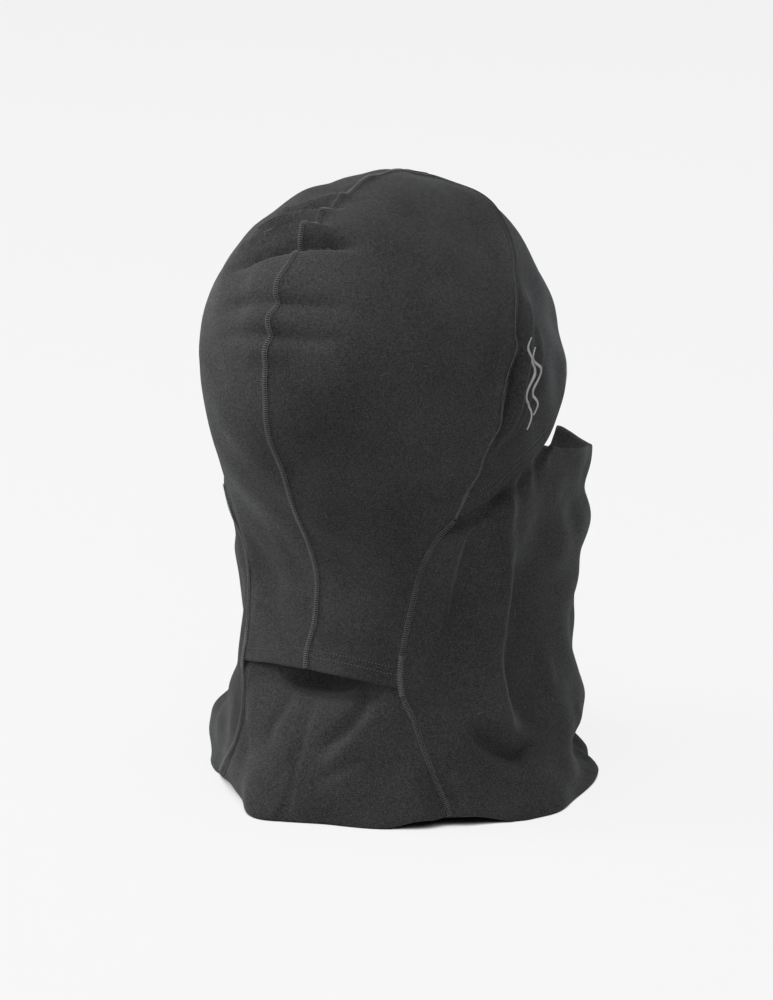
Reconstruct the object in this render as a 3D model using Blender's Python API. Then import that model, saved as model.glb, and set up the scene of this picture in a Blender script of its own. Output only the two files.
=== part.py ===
"""A two-part jersey balaclava: a seamed hood sewn to a neck gaiter along its side seams.

Metres, +Z up. The wearer faces -Y and their right hand is towards -X. The origin is on
the table under the middle of the garment, which stands on its bottom hem.
"""

import math

import bpy
import numpy as np

# ---- driving dimensions ----
HEIGHT = 0.2805  # table to the top of the crown
EQUATOR = 0.205  # height at which the crown starts to dome over
FABRIC = 0.0012  # one layer of brushed jersey
HEM = 0.0022  # a hem, with its edge turned under once
TUCKED_HEM = 0.0017  # the flattened hem under the nape flap
BAND = 0.010  # depth of every hem but one
TUCKED_BAND = 0.006  # depth of the hem that the nape flap hides
CLEAR = 0.0003  # air between neighbouring pieces
SEAM_GAP = 0.0006  # how far each panel stops short of a seam
SEAM_WIDTH = 0.0024  # flatlock seam
SEAM_RISE = 0.0005  # how far its thread stands up
SEAM_LIFT = 0.0006  # air under the seam thread
STITCH_WIDTH = 0.0040  # two needle rows and the looper thread between them
STITCH_RISE = 0.0004
TACK_WIDTH = 0.0032
TACK_RISE = 0.0008
TUCK = 0.0042  # how far a tucked-in edge lies under the panel outside it
FLAP_ROOM = 0.0012  # room for the nape hem to swing

# ---- joints ----
MASK_PIVOT = (0.0, 0.050, 0.139)  # through the two ends of the mask's hem
FLAP_PIVOT = (0.0, 0.069, 0.088)  # the line that the nape flap folds along

# ---- level outlines ----
# height, half breadth, back, front, centre, squareness at the back and at the front
HOOD_LEVELS = (
    (0.060, 0.0670, 0.078, -0.070, 0.009, 2.1, 2.0),
    (0.084, 0.0690, 0.072, -0.074, 0.008, 2.1, 2.0),
    (0.108, 0.0710, 0.068, -0.078, 0.006, 2.1, 2.0),
    (0.122, 0.0730, 0.073, -0.080, 0.006, 2.1, 2.0),
    (0.137, 0.0715, 0.084, -0.082, 0.007, 2.0, 2.0),
    (0.157, 0.0732, 0.094, -0.084, 0.008, 2.0, 2.0),
    (0.180, 0.0770, 0.105, -0.086, 0.009, 2.0, 2.0),
    (0.205, 0.0765, 0.109, -0.080, 0.009, 2.0, 2.0),
)
GAITER_LEVELS = (
    (0.000, 0.090, 0.088, -0.098, 0.000, 2.2, 2.05),
    (0.020, 0.087, 0.086, -0.094, 0.000, 2.2, 2.1),
    (0.045, 0.078, 0.079, -0.092, 0.000, 2.2, 2.2),
    (0.067, 0.071, 0.070, -0.094, 0.002, 2.1, 2.4),
    (0.090, 0.069, 0.064, -0.098, 0.002, 2.1, 2.8),
    (0.108, 0.069, 0.062, -0.103, 0.002, 2.1, 2.9),
    (0.137, 0.071, 0.066, -0.109, 0.000, 2.0, 2.7),
    (0.165, 0.071, 0.070, -0.108, -0.005, 2.0, 2.6),
)
# where the standing fabric bulges or dents: degrees round, height, depth, and its reach
# in degrees and in height
GAITER_BUMPS = (
    (-8, 0.002, 0.009, 11, 0.014),
    (-42, 0.000, -0.008, 16, 0.020),
    (-64, 0.000, -0.008, 24, 0.011),
    (-62, 0.053, -0.003, 20, 0.012),
    (-85, 0.052, -0.006, 40, 0.016),
    (134, 0.0145, -0.012, 32, 0.011),
    (76, 0.000, 0.006, 22, 0.012),
    (110, 0.000, 0.002, 16, 0.008),
    (142, 0.123, -0.0066, 30, 0.0115),
    (-98, 0.000, 0.0066, 20, 0.012),
    (-60, 0.040, -0.0035, 18, 0.009),
    (-30, 0.000, -0.0025, 10, 0.008),
)

# ---- seams and edges ----
BROW_SEAM = (  # from the middle of the crown to the right-hand junction
    (0.0000, -0.0310, 0.2755),
    (-0.0140, -0.0285, 0.2735),
    (-0.0280, -0.0235, 0.2690),
    (-0.0430, -0.0180, 0.2600),
    (-0.0590, -0.0110, 0.2490),
    (-0.0620, -0.0020, 0.2440),
    (-0.0684, 0.0126, 0.2340),
    (-0.0736, 0.0215, 0.2220),
    (-0.0745, 0.0290, 0.2070),
    (-0.0745, 0.0345, 0.1940),
    (-0.0738, 0.0375, 0.1820),
    (-0.0710, 0.0430, 0.1690),
    (-0.0660, 0.0475, 0.1530),
    (-0.0610, 0.0500, 0.1390),
)
SIDE_SEAM = (  # from a junction down to where the nape hem ends
    (-0.061, 0.0500, 0.139),
    (-0.054, 0.0555, 0.129),
    (-0.0465, 0.0555, 0.1135),
    (-0.0430, 0.0570, 0.097),
    (-0.0415, 0.0600, 0.084),
    (-0.0410, 0.0625, 0.072),
    (-0.0420, 0.0640, 0.061),
)
LOWER_SEAMS = {  # from there to the table; the garment stands twisted, so they differ
    "right": (
        (-0.0485, 0.0633, 0.047),
        (-0.0540, 0.0640, 0.035),
        (-0.0603, 0.0617, 0.018),
        (-0.0645, 0.0587, 0.004),
        (-0.0648, 0.0585, 0.000),
    ),
    "left": (
        (-0.0400, 0.0665, 0.050),
        (-0.0375, 0.0720, 0.038),
        (-0.0395, 0.0735, 0.028),
        (-0.0460, 0.0705, 0.018),
        (-0.0550, 0.0615, 0.009),
        (-0.0636, 0.0520, 0.000),
    ),
}
SIDES = {"right": 1, "left": -1}
BACK_SEAM = (
    (0.0, 0.0770, 0.0670),
    (0.0, 0.0680, 0.1080),
    (0.0, 0.1090, 0.2050),
    (0.0, 0.0820, 0.2620),
    (0.0, 0.0300, 0.2800),
    (0.0, -0.0310, 0.2755),
)
# edges as degrees round from the middle of the back, and height; the brow's is the same on
# both sides, while the mask's runs the whole way round and sags in front of the mouth
BROW_EDGE = (
    (56, 0.1380), (62, 0.1414), (73, 0.1472), (86, 0.1555), (100, 0.1610),
    (112, 0.1700), (128, 0.1810), (150, 0.1900), (180, 0.1930),
)
MASK_EDGE = (
    (55, 0.1470), (70, 0.1550), (85, 0.1605), (99, 0.1600), (113.5, 0.1545), (127, 0.1500),
    (134, 0.1478), (140, 0.1457), (150, 0.1420), (160, 0.1410), (167, 0.1425), (170, 0.1405),
    (174, 0.1350), (180, 0.1300), (190, 0.1285), (205, 0.1305), (222, 0.1370), (240, 0.1490),
    (256, 0.1575), (272, 0.1605), (290, 0.1550), (305, 0.1470),
)
NAPE_EDGE = ((0, 0.067), (19, 0.0656), (37.6, 0.0614))
MASK_TURN = math.radians(MASK_EDGE[0][0])
TUCKED_EDGE = ((0, 0.090), (20, 0.088), (39, 0.080))  # top of the gaiter's back panel
MARK_SPOT = (91.0, 0.196)  # middle of the embroidered mark
MARK_SIZE = (0.011, 0.042)
MARK_WAVES = 2
MARK_LINE = 0.0018  # width of its stitching
LABEL_SPOT = (250.0, 0.040)
LABEL_SIZE = (0.024, 0.016)
LABEL_DEPTH = 0.0026  # how far inside the gaiter's outer face it lies
LABEL_THICKNESS = 0.0004

COLOURS = {
    "jersey": ((0.030, 0.030, 0.032), 0.92),
    "jersey_light": ((0.036, 0.036, 0.039), 0.90),
    "thread": ((0.085, 0.087, 0.092), 0.70),
    "embroidery": ((0.33, 0.34, 0.35), 0.50),
    "label": ((0.30, 0.30, 0.30), 0.65),
}


# ---------------------------------------------------------------- curves


def through(keys, at):
    """Smooth value at each place in `at`, through rows of (place, value, ...)."""
    keys = np.asarray(keys, float)
    place, values = keys[:, 0], keys[:, 1:]
    slopes = np.gradient(values, place, axis=0)
    at = np.clip(np.asarray(at, float), place[0], place[-1])
    i = np.clip(np.searchsorted(place, at, side="right") - 1, 0, len(place) - 2)
    step = (place[i + 1] - place[i])[..., None]
    t = (at[..., None] - place[i][..., None]) / step
    return (
        (1 + 2 * t) * (1 - t) ** 2 * values[i]
        + t * (1 - t) ** 2 * step * slopes[i]
        + t * t * (3 - 2 * t) * values[i + 1]
        + t * t * (t - 1) * step * slopes[i + 1]
    )


def lengths(points):
    return np.concatenate([[0], np.cumsum(np.linalg.norm(np.diff(points, axis=0), axis=1))])


def spaced(points, count):
    """The same line with `count` points, evenly spaced along it."""
    points = np.asarray(points, float)
    fine = through(np.column_stack([lengths(points), points]), np.linspace(0, lengths(points)[-1], 400))
    along = lengths(fine)
    at = np.linspace(0, along[-1], count)
    return np.column_stack([np.interp(at, along, fine[:, k]) for k in range(fine.shape[1])])


def ease(low, high, value):
    t = np.clip((value - low) / (high - low), 0, 1)
    return t * t * (3 - 2 * t)


# ---------------------------------------------------------------- forms


def level_radius(levels, turn, z):
    """Radius of a form's level outline at `turn` radians round from the back."""
    half, back, front, centre, back_n, front_n = np.moveaxis(through(levels, z), -1, 0)
    rear = np.cos(turn) >= 0
    depth = np.where(rear, back - centre, centre - front)
    n = np.where(rear, back_n, front_n)
    return (np.abs(np.cos(turn) / depth) ** n + np.abs(np.sin(turn) / half) ** n) ** (-1 / n)


def level_centre(levels, z):
    return through(levels, z)[..., 3]


def hood_fullness(point):
    """1 on the hood's form, less inside it and more outside it."""
    z = np.minimum(point[..., 2], EQUATOR)
    centre = level_centre(HOOD_LEVELS, z)
    turn = np.arctan2(-point[..., 0], point[..., 1] - centre)
    out = np.hypot(point[..., 0], point[..., 1] - centre) / level_radius(HOOD_LEVELS, turn, z)
    up = np.maximum(point[..., 2] - EQUATOR, 0) / (HEIGHT - EQUATOR)
    m = 2.06 + 0.1 * np.cos(turn) - 0.24 * np.sin(turn) ** 2
    return (out**m + up**m) ** (1 / m)


def on_hood(point):
    """Moves a point out or in to the hood's form."""
    point = np.asarray(point, float)
    z = np.minimum(point[..., 2], EQUATOR)
    hub = np.stack([0 * z, level_centre(HOOD_LEVELS, z), z], -1)
    return hub + (point - hub) / hood_fullness(point)[..., None]


def hood_at(turn, z):
    """Point of the hood below its equator."""
    turn, z = np.broadcast_arrays(np.radians(turn), z)
    r = level_radius(HOOD_LEVELS, turn, z)
    return np.stack([-r * np.sin(turn), level_centre(HOOD_LEVELS, z) + r * np.cos(turn), z], -1)


def seam_line(side):
    """A side seam from its junction to the table."""
    keys = np.array(SIDE_SEAM + LOWER_SEAMS[side])
    keys[:, 0] *= SIDES[side]
    return spaced(keys, 240)


SEAM_LINES = {side: seam_line(side) for side in SIDES}


def seam_polar(side, z):
    """Turn and radius of a side seam at a height, about the gaiter's centre."""
    line = SEAM_LINES[side][::-1]
    x, y = np.interp(z, line[:, 2], line[:, 0]), np.interp(z, line[:, 2], line[:, 1])
    y = y - level_centre(GAITER_LEVELS, z)
    return np.arctan2(-x, y), np.hypot(x, y)


def gaiter_form(turn, z):
    """Radius of the gaiter's form with its bumps, before the seams draw it in."""
    r = level_radius(GAITER_LEVELS, turn, z)
    for at, height, depth, reach, rise in GAITER_BUMPS:
        off = (np.degrees(turn) - at + 180) % 360 - 180
        r = r + depth * np.exp(-((off / reach) ** 2) - ((z - height) / rise) ** 2)
    return r


def gaiter_radius(turn, z):
    """Radius of the gaiter, drawn in or out to meet the side seams."""
    r = gaiter_form(turn, z)
    for side in SIDES:
        seam_turn, seam_r = seam_polar(side, z)
        off = (np.degrees(turn - seam_turn) + 180) % 360 - 180
        r = r + (seam_r - gaiter_form(seam_turn, z)) * (1 - ease(0, 34, np.abs(off)))
    return r


def brow_edge(turn):
    return through(BROW_EDGE, 180 - np.abs(180 - np.degrees(turn) % 360))[..., 0]


def mask_edge(turn):
    return through(MASK_EDGE, np.degrees(turn) % 360)[..., 0]


def gaiter_at(turn, z, tucked=False):
    """Point of the gaiter; its front goes in under the brow, its back under the nape."""
    turn, z = np.broadcast_arrays(np.asarray(turn, float), z)
    r = gaiter_radius(turn, z)
    hood_centre = level_centre(HOOD_LEVELS, np.maximum(z, HOOD_LEVELS[0][0]))
    shift = level_centre(GAITER_LEVELS, z) - hood_centre
    inside = level_radius(HOOD_LEVELS, turn, z) - shift * np.cos(turn) - TUCK
    if tucked:
        amount = ease(0.046, 0.060, z)
    else:
        amount = ease(-0.008, -0.001, z - brow_edge(turn))
    r = r - amount * np.maximum(r - inside, 0)
    return np.stack([-r * np.sin(turn), level_centre(GAITER_LEVELS, z) + r * np.cos(turn), z], -1)


def normals(grid):
    """Unit normals of a grid of points whose rows and columns are smooth."""
    across, along = np.gradient(grid, axis=1), np.gradient(grid, axis=0)
    n = np.cross(across, along)
    return n / np.linalg.norm(n, axis=-1, keepdims=True)


def hood_normal(point, step=1e-4):
    n = [hood_fullness(point + step * e) - hood_fullness(point - step * e) for e in np.eye(3)]
    n = np.stack(n, -1)
    return n / np.linalg.norm(n, axis=-1, keepdims=True)


# ---------------------------------------------------------------- patches


def patch(left, right, bottom, top, project, columns, rows):
    """A panel between four edges, laid on a form but kept exactly on its edges.

    left and right run from bottom to top; bottom and top run from left to right.
    """
    s, t = np.meshgrid(np.linspace(0, 1, columns), np.linspace(0, 1, rows))
    s, t = s[..., None], t[..., None]

    def filled(le, ri, bo, to):
        corners = (1 - s) * (1 - t) * bo[0] + s * (1 - t) * bo[-1] + (1 - s) * t * to[0] + s * t * to[-1]
        return (1 - s) * le[:, None] + s * ri[:, None] + (1 - t) * bo[None] + t * to[None] - corners

    edges = [spaced(e, n) for e, n in ((left, rows), (right, rows), (bottom, columns), (top, columns))]
    slips = [e - project(e) for e in edges]
    return project(filled(*edges)) + filled(*slips)


def draw_in(grid, margin, rows=True, columns=True):
    """Pulls a grid's border rows or columns in by a margin, to leave air at the seams."""
    grid = grid.copy()
    if columns:
        for a, b in ((0, 1), (-1, -2)):
            way = grid[:, b] - grid[:, a]
            grid[:, a] += margin * way / np.linalg.norm(way, axis=-1, keepdims=True)
    if rows:
        for a, b in ((0, 1), (-1, -2)):
            way = grid[b] - grid[a]
            grid[a] += margin * way / np.linalg.norm(way, axis=-1, keepdims=True)
    return grid


# ---------------------------------------------------------------- Blender objects


def clear_scene():
    for obj in list(bpy.data.objects):
        bpy.data.objects.remove(obj, do_unlink=True)


def material(name):
    colour, roughness = COLOURS[name]
    found = bpy.data.materials.get(name) or bpy.data.materials.new(name)
    found.use_nodes = True
    shader = found.node_tree.nodes["Principled BSDF"]
    shader.inputs["Base Color"].default_value = (*colour, 1.0)
    shader.inputs["Roughness"].default_value = roughness
    shader.inputs["Metallic"].default_value = 0.0
    found.diffuse_color = (*colour, 1.0)
    return found


def add_object(name, points, faces, finish, parent=None):
    mesh = bpy.data.meshes.new(name)
    mesh.from_pydata([tuple(p) for p in points], [], faces)
    mesh.shade_smooth()
    mesh.set_sharp_from_angle(angle=math.radians(50))
    mesh.materials.append(material(finish))
    obj = bpy.data.objects.new(name, mesh)
    bpy.context.collection.objects.link(obj)
    if parent is not None:
        obj.parent = parent
        mesh.transform(parent.matrix_world.inverted())
    return obj


def pivot(name, place):
    """An empty on a joint's axis, which the moving pieces hang from."""
    empty = bpy.data.objects.new(name, None)
    empty.location = place
    bpy.context.collection.objects.link(empty)
    bpy.context.view_layer.update()
    return empty


def grid_faces(rows, columns, closed=False):
    """Quads of a grid with the rows going up and the columns to the left seen from outside."""
    faces = []
    for i in range(rows - 1):
        for j in range(columns if closed else columns - 1):
            k = (j + 1) % columns
            faces.append((i * columns + j, i * columns + k, (i + 1) * columns + k, (i + 1) * columns + j))
    return faces


def shell(name, grid, thickness, finish, parent=None):
    """Cloth of one thickness, whose outer face is the grid."""
    rows, columns = grid.shape[:2]
    middle = normals(grid)[rows // 2, columns // 2]
    outward = grid[rows // 2, columns // 2] - (0, 0, grid[rows // 2, columns // 2, 2] - 0.01)
    if np.dot(middle, outward) < 0:
        grid = grid[:, ::-1]
    obj = add_object(name, grid.reshape(-1, 3), grid_faces(rows, columns), finish, parent)
    solid = obj.modifiers.new("cloth thickness", "SOLIDIFY")
    solid.thickness = thickness
    solid.offset = -1
    solid.use_even_offset = True
    solid.use_rim = True
    return obj


def ribbon(name, line, up, width, lift, rise, finish, parent=None):
    """Thread lying on the cloth: a flat bar swept along a line, whose normals are `up`."""
    along = np.gradient(line, axis=0)
    side = np.cross(up, along)
    side *= width / 2 / np.linalg.norm(side, axis=-1, keepdims=True)
    low, high = line + lift * up, line + (lift + rise) * up
    points = np.stack([low - side, low + side, high + side, high - side], 1).reshape(-1, 3)
    count = len(line)
    faces = [(3, 2, 1, 0)]
    for i in range(count - 1):
        for a in range(4):
            b = (a + 1) % 4
            faces.append((4 * i + a, 4 * i + b, 4 * i + 4 + b, 4 * i + 4 + a))
    end = 4 * (count - 1)
    faces.append((end, end + 1, end + 2, end + 3))
    return add_object(name, points, faces, finish, parent)


def ring(name, outer, thickness, finish):
    """A closed band with level edges, such as the bottom hem; outer is 2 rows of points."""
    count = outer.shape[1]
    inward = -outer * (1, 1, 0)
    inward /= np.linalg.norm(inward, axis=-1, keepdims=True)
    inner = outer + thickness * inward
    points = np.concatenate([outer[0], outer[1], inner[1], inner[0]])
    faces = []
    for row in range(4):
        for j in range(count):
            k = (j + 1) % count
            other = (row + 1) % 4
            faces.append((row * count + k, other * count + k, other * count + j, row * count + j))
    return add_object(name, points, faces, finish)


# ---------------------------------------------------------------- the pieces


def nape_line(amount=0.0, inset=0.0, count=24):
    """The nape hem's lower edge, or the same edge further up, from the right to the left."""
    reach = NAPE_EDGE[-1][0] - inset
    turn = np.linspace(reach, -reach, count)
    return hood_at(turn, through(NAPE_EDGE, np.abs(turn))[..., 0] + amount)


def brow_line():
    """The whole brow seam, from the right junction over the crown to the left one."""
    right = np.array(BROW_SEAM)[::-1]
    left = right[::-1] * (-1, 1, 1)
    return on_hood(spaced(np.concatenate([right, left[1:]]), 161))


def crown_panel(side):
    sign = np.array((SIDES[side], 1, 1))
    seam = SEAM_LINES["right"]
    low = NAPE_EDGE[-1][1] + BAND + FLAP_ROOM
    edge = seam[seam[:, 2] > low][::-1] * sign
    top = brow_line()[80:] if side == "left" else brow_line()[80::-1]
    turn = np.linspace(0, NAPE_EDGE[-1][0], 24) * SIDES[side]
    bottom = hood_at(turn, through(NAPE_EDGE, np.abs(turn))[..., 0] + BAND + FLAP_ROOM)
    bottom[-1] = edge[0]
    back = on_hood(spaced(BACK_SEAM, 120))
    back = np.concatenate([bottom[:1], back[back[:, 2] > bottom[0, 2] + 0.001]])
    top[-1] = edge[-1]
    grid = patch(back, edge, bottom, top, on_hood, 15, 29)
    shell(f"crown_panel_{side}", draw_in(grid, SEAM_GAP), FABRIC, "jersey")


def brow_rows(low, high, columns, rows):
    """Grid of the brow between two heights above its lower edge; None reaches the seam."""
    seam = brow_line()
    turn = np.radians(np.linspace(BROW_EDGE[0][0], 360 - BROW_EDGE[0][0], 161))
    edge = hood_at(np.degrees(turn), brow_edge(turn) + low)
    if high is None:
        top = seam
        margin = 7  # the tips are cut off where the bar tacks hold them
        edge, top = edge[margin:-margin], top[margin:-margin]
    else:
        top = hood_at(np.degrees(turn), brow_edge(turn) + high)
        edge, top = edge[2:-2], top[2:-2]
    edge, top = spaced(edge, columns), spaced(top, columns)
    t = np.linspace(0, 1, rows)[:, None, None]
    return on_hood(edge[None] * (1 - t) + top[None] * t)


def brow_pieces():
    grid = brow_rows(BAND + CLEAR, None, 45, 10)
    shell("brow_panel", draw_in(grid, SEAM_GAP), FABRIC, "jersey")
    shell("brow_hem", brow_rows(0.0, BAND, 49, 3), HEM, "jersey_light")
    rows = brow_rows(0.0045, 0.0095, 61, 3)
    up = normals(rows)[1, 3:-3] * facing(rows)
    ribbon("brow_hem_stitching", rows[1, 3:-3], up, STITCH_WIDTH, SEAM_LIFT, STITCH_RISE, "thread")


def facing(grid):
    """1 or -1, to turn a grid's normals outwards."""
    middle = grid[grid.shape[0] // 2, grid.shape[1] // 2]
    n = normals(grid)[grid.shape[0] // 2, grid.shape[1] // 2]
    return 1 if np.dot(n, middle * (1, 1, 0)) > 0 else -1


def nape_pieces(parent):
    inset = 2.2  # degrees kept clear of the side seams
    low, high = nape_line(0.0, inset), nape_line(BAND, inset)
    grid = np.stack([low, (low + high) / 2, high])
    shell("nape_hem", grid, HEM, "jersey_light", parent)
    rows = np.stack([nape_line(0.0065, inset + 1.5, 31), nape_line(0.0075, inset + 1.5, 31)])
    up = normals(rows)[0] * facing(rows)
    ribbon("nape_hem_stitching", rows[0], up, STITCH_WIDTH, SEAM_LIFT, STITCH_RISE, "thread", parent)


def front_grid(low, high, columns, rows, margin):
    """Grid of the gaiter's front between two edges, each a function of the turn."""
    s = np.linspace(0, 1, columns)[None]
    t = np.linspace(0, 1, rows)[:, None]
    z_side = np.clip(low(MASK_TURN) * (1 - t) + high(MASK_TURN) * t, 0, MASK_PIVOT[2])
    right = seam_polar("right", z_side)[0] + margin
    left = seam_polar("left", z_side)[0] % (2 * math.pi) - margin
    turn = right * (1 - s) + left * s
    return gaiter_at(turn, low(turn) * (1 - t) + high(turn) * t)


def gaiter_pieces(mask_parent):
    side_gap = 0.006  # radians kept clear of the side seams
    start = BAND + 3 * CLEAR

    def below_mask(amount):
        return lambda turn: mask_edge(turn) - amount

    grid = front_grid(lambda turn: start + 0 * turn, below_mask(BAND + 3 * CLEAR), 57, 17, side_gap)
    shell("gaiter_front_panel", grid, FABRIC, "jersey")

    band = front_grid(below_mask(BAND), mask_edge, 57, 3, 0.030)
    shell("mask_hem", band, HEM, "jersey_light", mask_parent)

    rows = 11
    s = np.linspace(0, 1, 17)[None]
    t = np.linspace(0, 1, rows)[:, None]
    z_side = np.linspace(start, TUCKED_EDGE[-1][1], rows)
    a = (seam_polar("right", z_side)[0] - side_gap)[:, None]
    b = (seam_polar("left", z_side)[0] + side_gap)[:, None]
    turn = a * (1 - s) + b * s
    top = through(TUCKED_EDGE, np.abs(np.degrees(turn)))[..., 0]
    z = start * (1 - t) + (top - TUCKED_BAND - CLEAR) * t
    shell("gaiter_back_panel", gaiter_at(turn, z, tucked=True), FABRIC, "jersey")
    turn = turn[-3:]
    top = through(TUCKED_EDGE, np.abs(np.degrees(turn)))[..., 0]
    z = top - TUCKED_BAND * (1 - np.linspace(0, 1, 3)[:, None])
    shell("gaiter_back_top_hem", gaiter_at(turn, z, tucked=True), TUCKED_HEM, "jersey_light")


def bottom_pieces():
    turn = np.linspace(0, 2 * math.pi, 97)[:-1]
    outer = np.stack([gaiter_at(turn, 0.0), gaiter_at(turn, BAND)])
    ring("bottom_hem", outer, HEM, "jersey_light")


def side_normal(side, line):
    """Mean of the two cloths' normals along a side seam."""
    turn = seam_polar(side, line[:, 2])[0]
    step = 0.03  # radians to either side of the seam
    ahead, behind = gaiter_at(turn + step, line[:, 2]), gaiter_at(turn - step, line[:, 2])
    along = np.gradient(line, axis=0)
    n = np.cross(behind - ahead, along)
    n /= np.linalg.norm(n, axis=-1, keepdims=True)
    n *= np.sign(np.sum(n * line * (1, 1, 0), -1, keepdims=True))
    upper = ease(0.050, 0.075, line[:, 2])[:, None] * 0.5
    n = n * (1 - upper) + hood_normal(line) * upper
    return n / np.linalg.norm(n, axis=-1, keepdims=True)


def seam_pieces():
    back = on_hood(spaced(BACK_SEAM, 70))
    back = back[back[:, 2] > NAPE_EDGE[0][1] + BAND + FLAP_ROOM + 0.001][:-2]
    ribbon("centre_back_seam", back, hood_normal(back), SEAM_WIDTH, SEAM_LIFT, SEAM_RISE, "thread")
    brow = spaced(brow_line(), 91)[2:-2]
    ribbon("brow_seam", brow, hood_normal(brow), SEAM_WIDTH, SEAM_LIFT, SEAM_RISE, "thread")
    for side in SIDES:
        line = SEAM_LINES[side]
        line = spaced(line[(line[:, 2] > BAND + 2 * CLEAR) & (line[:, 2] < 0.1365)], 45)
        up = side_normal(side, line)
        ribbon(f"side_seam_{side}", line, up, SEAM_WIDTH, SEAM_LIFT, SEAM_RISE, "thread")
        tack_lift = SEAM_LIFT + SEAM_RISE + CLEAR
        near_nape = line[(line[:, 2] > 0.0585) & (line[:, 2] < 0.0765)]
        up = side_normal(side, near_nape)
        ribbon(f"nape_bar_tack_{side}", near_nape, up, TACK_WIDTH, tack_lift, TACK_RISE, "thread")
        end = brow[1:5] if side == "right" else brow[-5:-1]
        ribbon(f"brow_bar_tack_{side}", end, hood_normal(end), TACK_WIDTH, tack_lift, TACK_RISE, "thread")


def small_pieces():
    """The plain wavy mark on the right temple, and the blank care label inside."""
    t = np.linspace(0, 1, 49)
    swing = 0.5 * MARK_SIZE[0] * np.sin(MARK_WAVES * 2 * math.pi * t)
    turn = MARK_SPOT[0] + np.degrees(swing / HOOD_LEVELS[-1][1])
    place = on_hood(hood_at(turn, MARK_SPOT[1] + (t - 0.5) * MARK_SIZE[1]))
    ribbon("temple_mark", place, hood_normal(place), MARK_LINE, SEAM_LIFT, SEAM_RISE, "embroidery")

    s = np.linspace(-0.5, 0.5, 7)[None] * math.degrees(LABEL_SIZE[0] / 0.085)
    z = LABEL_SPOT[1] + np.linspace(-0.5, 0.5, 5)[:, None] * LABEL_SIZE[1]
    outer = gaiter_at(np.radians(LABEL_SPOT[0] + s), z)
    hub = outer * (0, 0, 1)
    reach = np.linalg.norm(outer - hub, axis=-1, keepdims=True)
    inner = hub + (outer - hub) * (1 - LABEL_DEPTH / reach)
    shell("care_label", inner, LABEL_THICKNESS, "label")


def build():
    clear_scene()
    mask_pivot = pivot("mask_pivot", MASK_PIVOT)
    flap_pivot = pivot("flap_pivot", FLAP_PIVOT)
    for side in SIDES:
        crown_panel(side)
    brow_pieces()
    nape_pieces(flap_pivot)
    gaiter_pieces(mask_pivot)
    bottom_pieces()
    seam_pieces()
    small_pieces()


build()
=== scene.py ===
"""The jersey balaclava's looks: sewn knit panels, folded hems, flatlock seams, threads and lint.

Metres, in the CAD model's frame: +Z up, the wearer faces -Y and their right is -X. Turns are
degrees round from the middle of the back, growing towards the wearer's right.
"""

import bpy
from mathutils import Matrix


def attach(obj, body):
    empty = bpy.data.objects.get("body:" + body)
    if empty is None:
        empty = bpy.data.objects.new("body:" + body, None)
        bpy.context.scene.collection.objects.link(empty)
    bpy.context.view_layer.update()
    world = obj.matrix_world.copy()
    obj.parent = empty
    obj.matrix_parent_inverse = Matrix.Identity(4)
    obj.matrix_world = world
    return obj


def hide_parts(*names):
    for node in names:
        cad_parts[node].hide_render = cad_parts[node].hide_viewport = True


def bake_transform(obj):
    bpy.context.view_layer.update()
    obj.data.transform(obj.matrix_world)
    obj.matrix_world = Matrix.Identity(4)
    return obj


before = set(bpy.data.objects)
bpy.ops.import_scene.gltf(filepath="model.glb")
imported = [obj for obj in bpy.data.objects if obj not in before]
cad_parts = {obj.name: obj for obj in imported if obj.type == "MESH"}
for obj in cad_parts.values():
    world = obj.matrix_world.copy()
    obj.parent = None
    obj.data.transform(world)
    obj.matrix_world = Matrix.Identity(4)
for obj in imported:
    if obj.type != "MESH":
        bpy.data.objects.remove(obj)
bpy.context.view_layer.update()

import math

import bpy
import numpy as np
from mathutils import Vector

MM = 0.001
STANDING = "shell"  # the body that stands on the table
MASK = "mask"
FLAP = "nape_flap"

# ---- cloth ----
FABRIC = 1.1 * MM
HEM = 2.1 * MM  # thickness of a turned-under edge
BAND = 10 * MM  # depth of the hems
TUCK = 3.2 * MM  # how far inside the hood the gaiter's cloth lies where the hood covers it
STEP = 1.7 * MM  # spacing of the cloth's mesh
TOP = 0.2805
EQUATOR = 0.205  # height at which the hood's dome starts

# ---- level outlines: height, half breadth, back, front, centre, squareness behind, before ----
HOOD_LEVELS = (
    (0.060, 0.0670, 0.078, -0.070, 0.009, 2.1, 2.0),
    (0.084, 0.0690, 0.072, -0.074, 0.008, 2.1, 2.0),
    (0.108, 0.0710, 0.068, -0.078, 0.006, 2.1, 2.0),
    (0.122, 0.0730, 0.073, -0.080, 0.006, 2.1, 2.0),
    (0.137, 0.0715, 0.084, -0.082, 0.007, 2.0, 2.0),
    (0.157, 0.0732, 0.094, -0.084, 0.008, 2.0, 2.0),
    (0.180, 0.0770, 0.105, -0.086, 0.009, 2.0, 2.0),
    (0.205, 0.0765, 0.109, -0.080, 0.009, 2.0, 2.0),
)
GAITER_LEVELS = (
    (0.000, 0.090, 0.088, -0.098, 0.000, 2.2, 2.05),
    (0.020, 0.087, 0.086, -0.094, 0.000, 2.2, 2.1),
    (0.045, 0.078, 0.079, -0.092, 0.000, 2.2, 2.2),
    (0.067, 0.071, 0.070, -0.094, 0.002, 2.1, 2.4),
    (0.090, 0.069, 0.064, -0.098, 0.002, 2.1, 2.8),
    (0.108, 0.069, 0.062, -0.103, 0.002, 2.1, 2.9),
    (0.137, 0.071, 0.066, -0.109, 0.000, 2.0, 2.7),
    (0.165, 0.071, 0.070, -0.108, -0.005, 2.0, 2.6),
)
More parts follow.
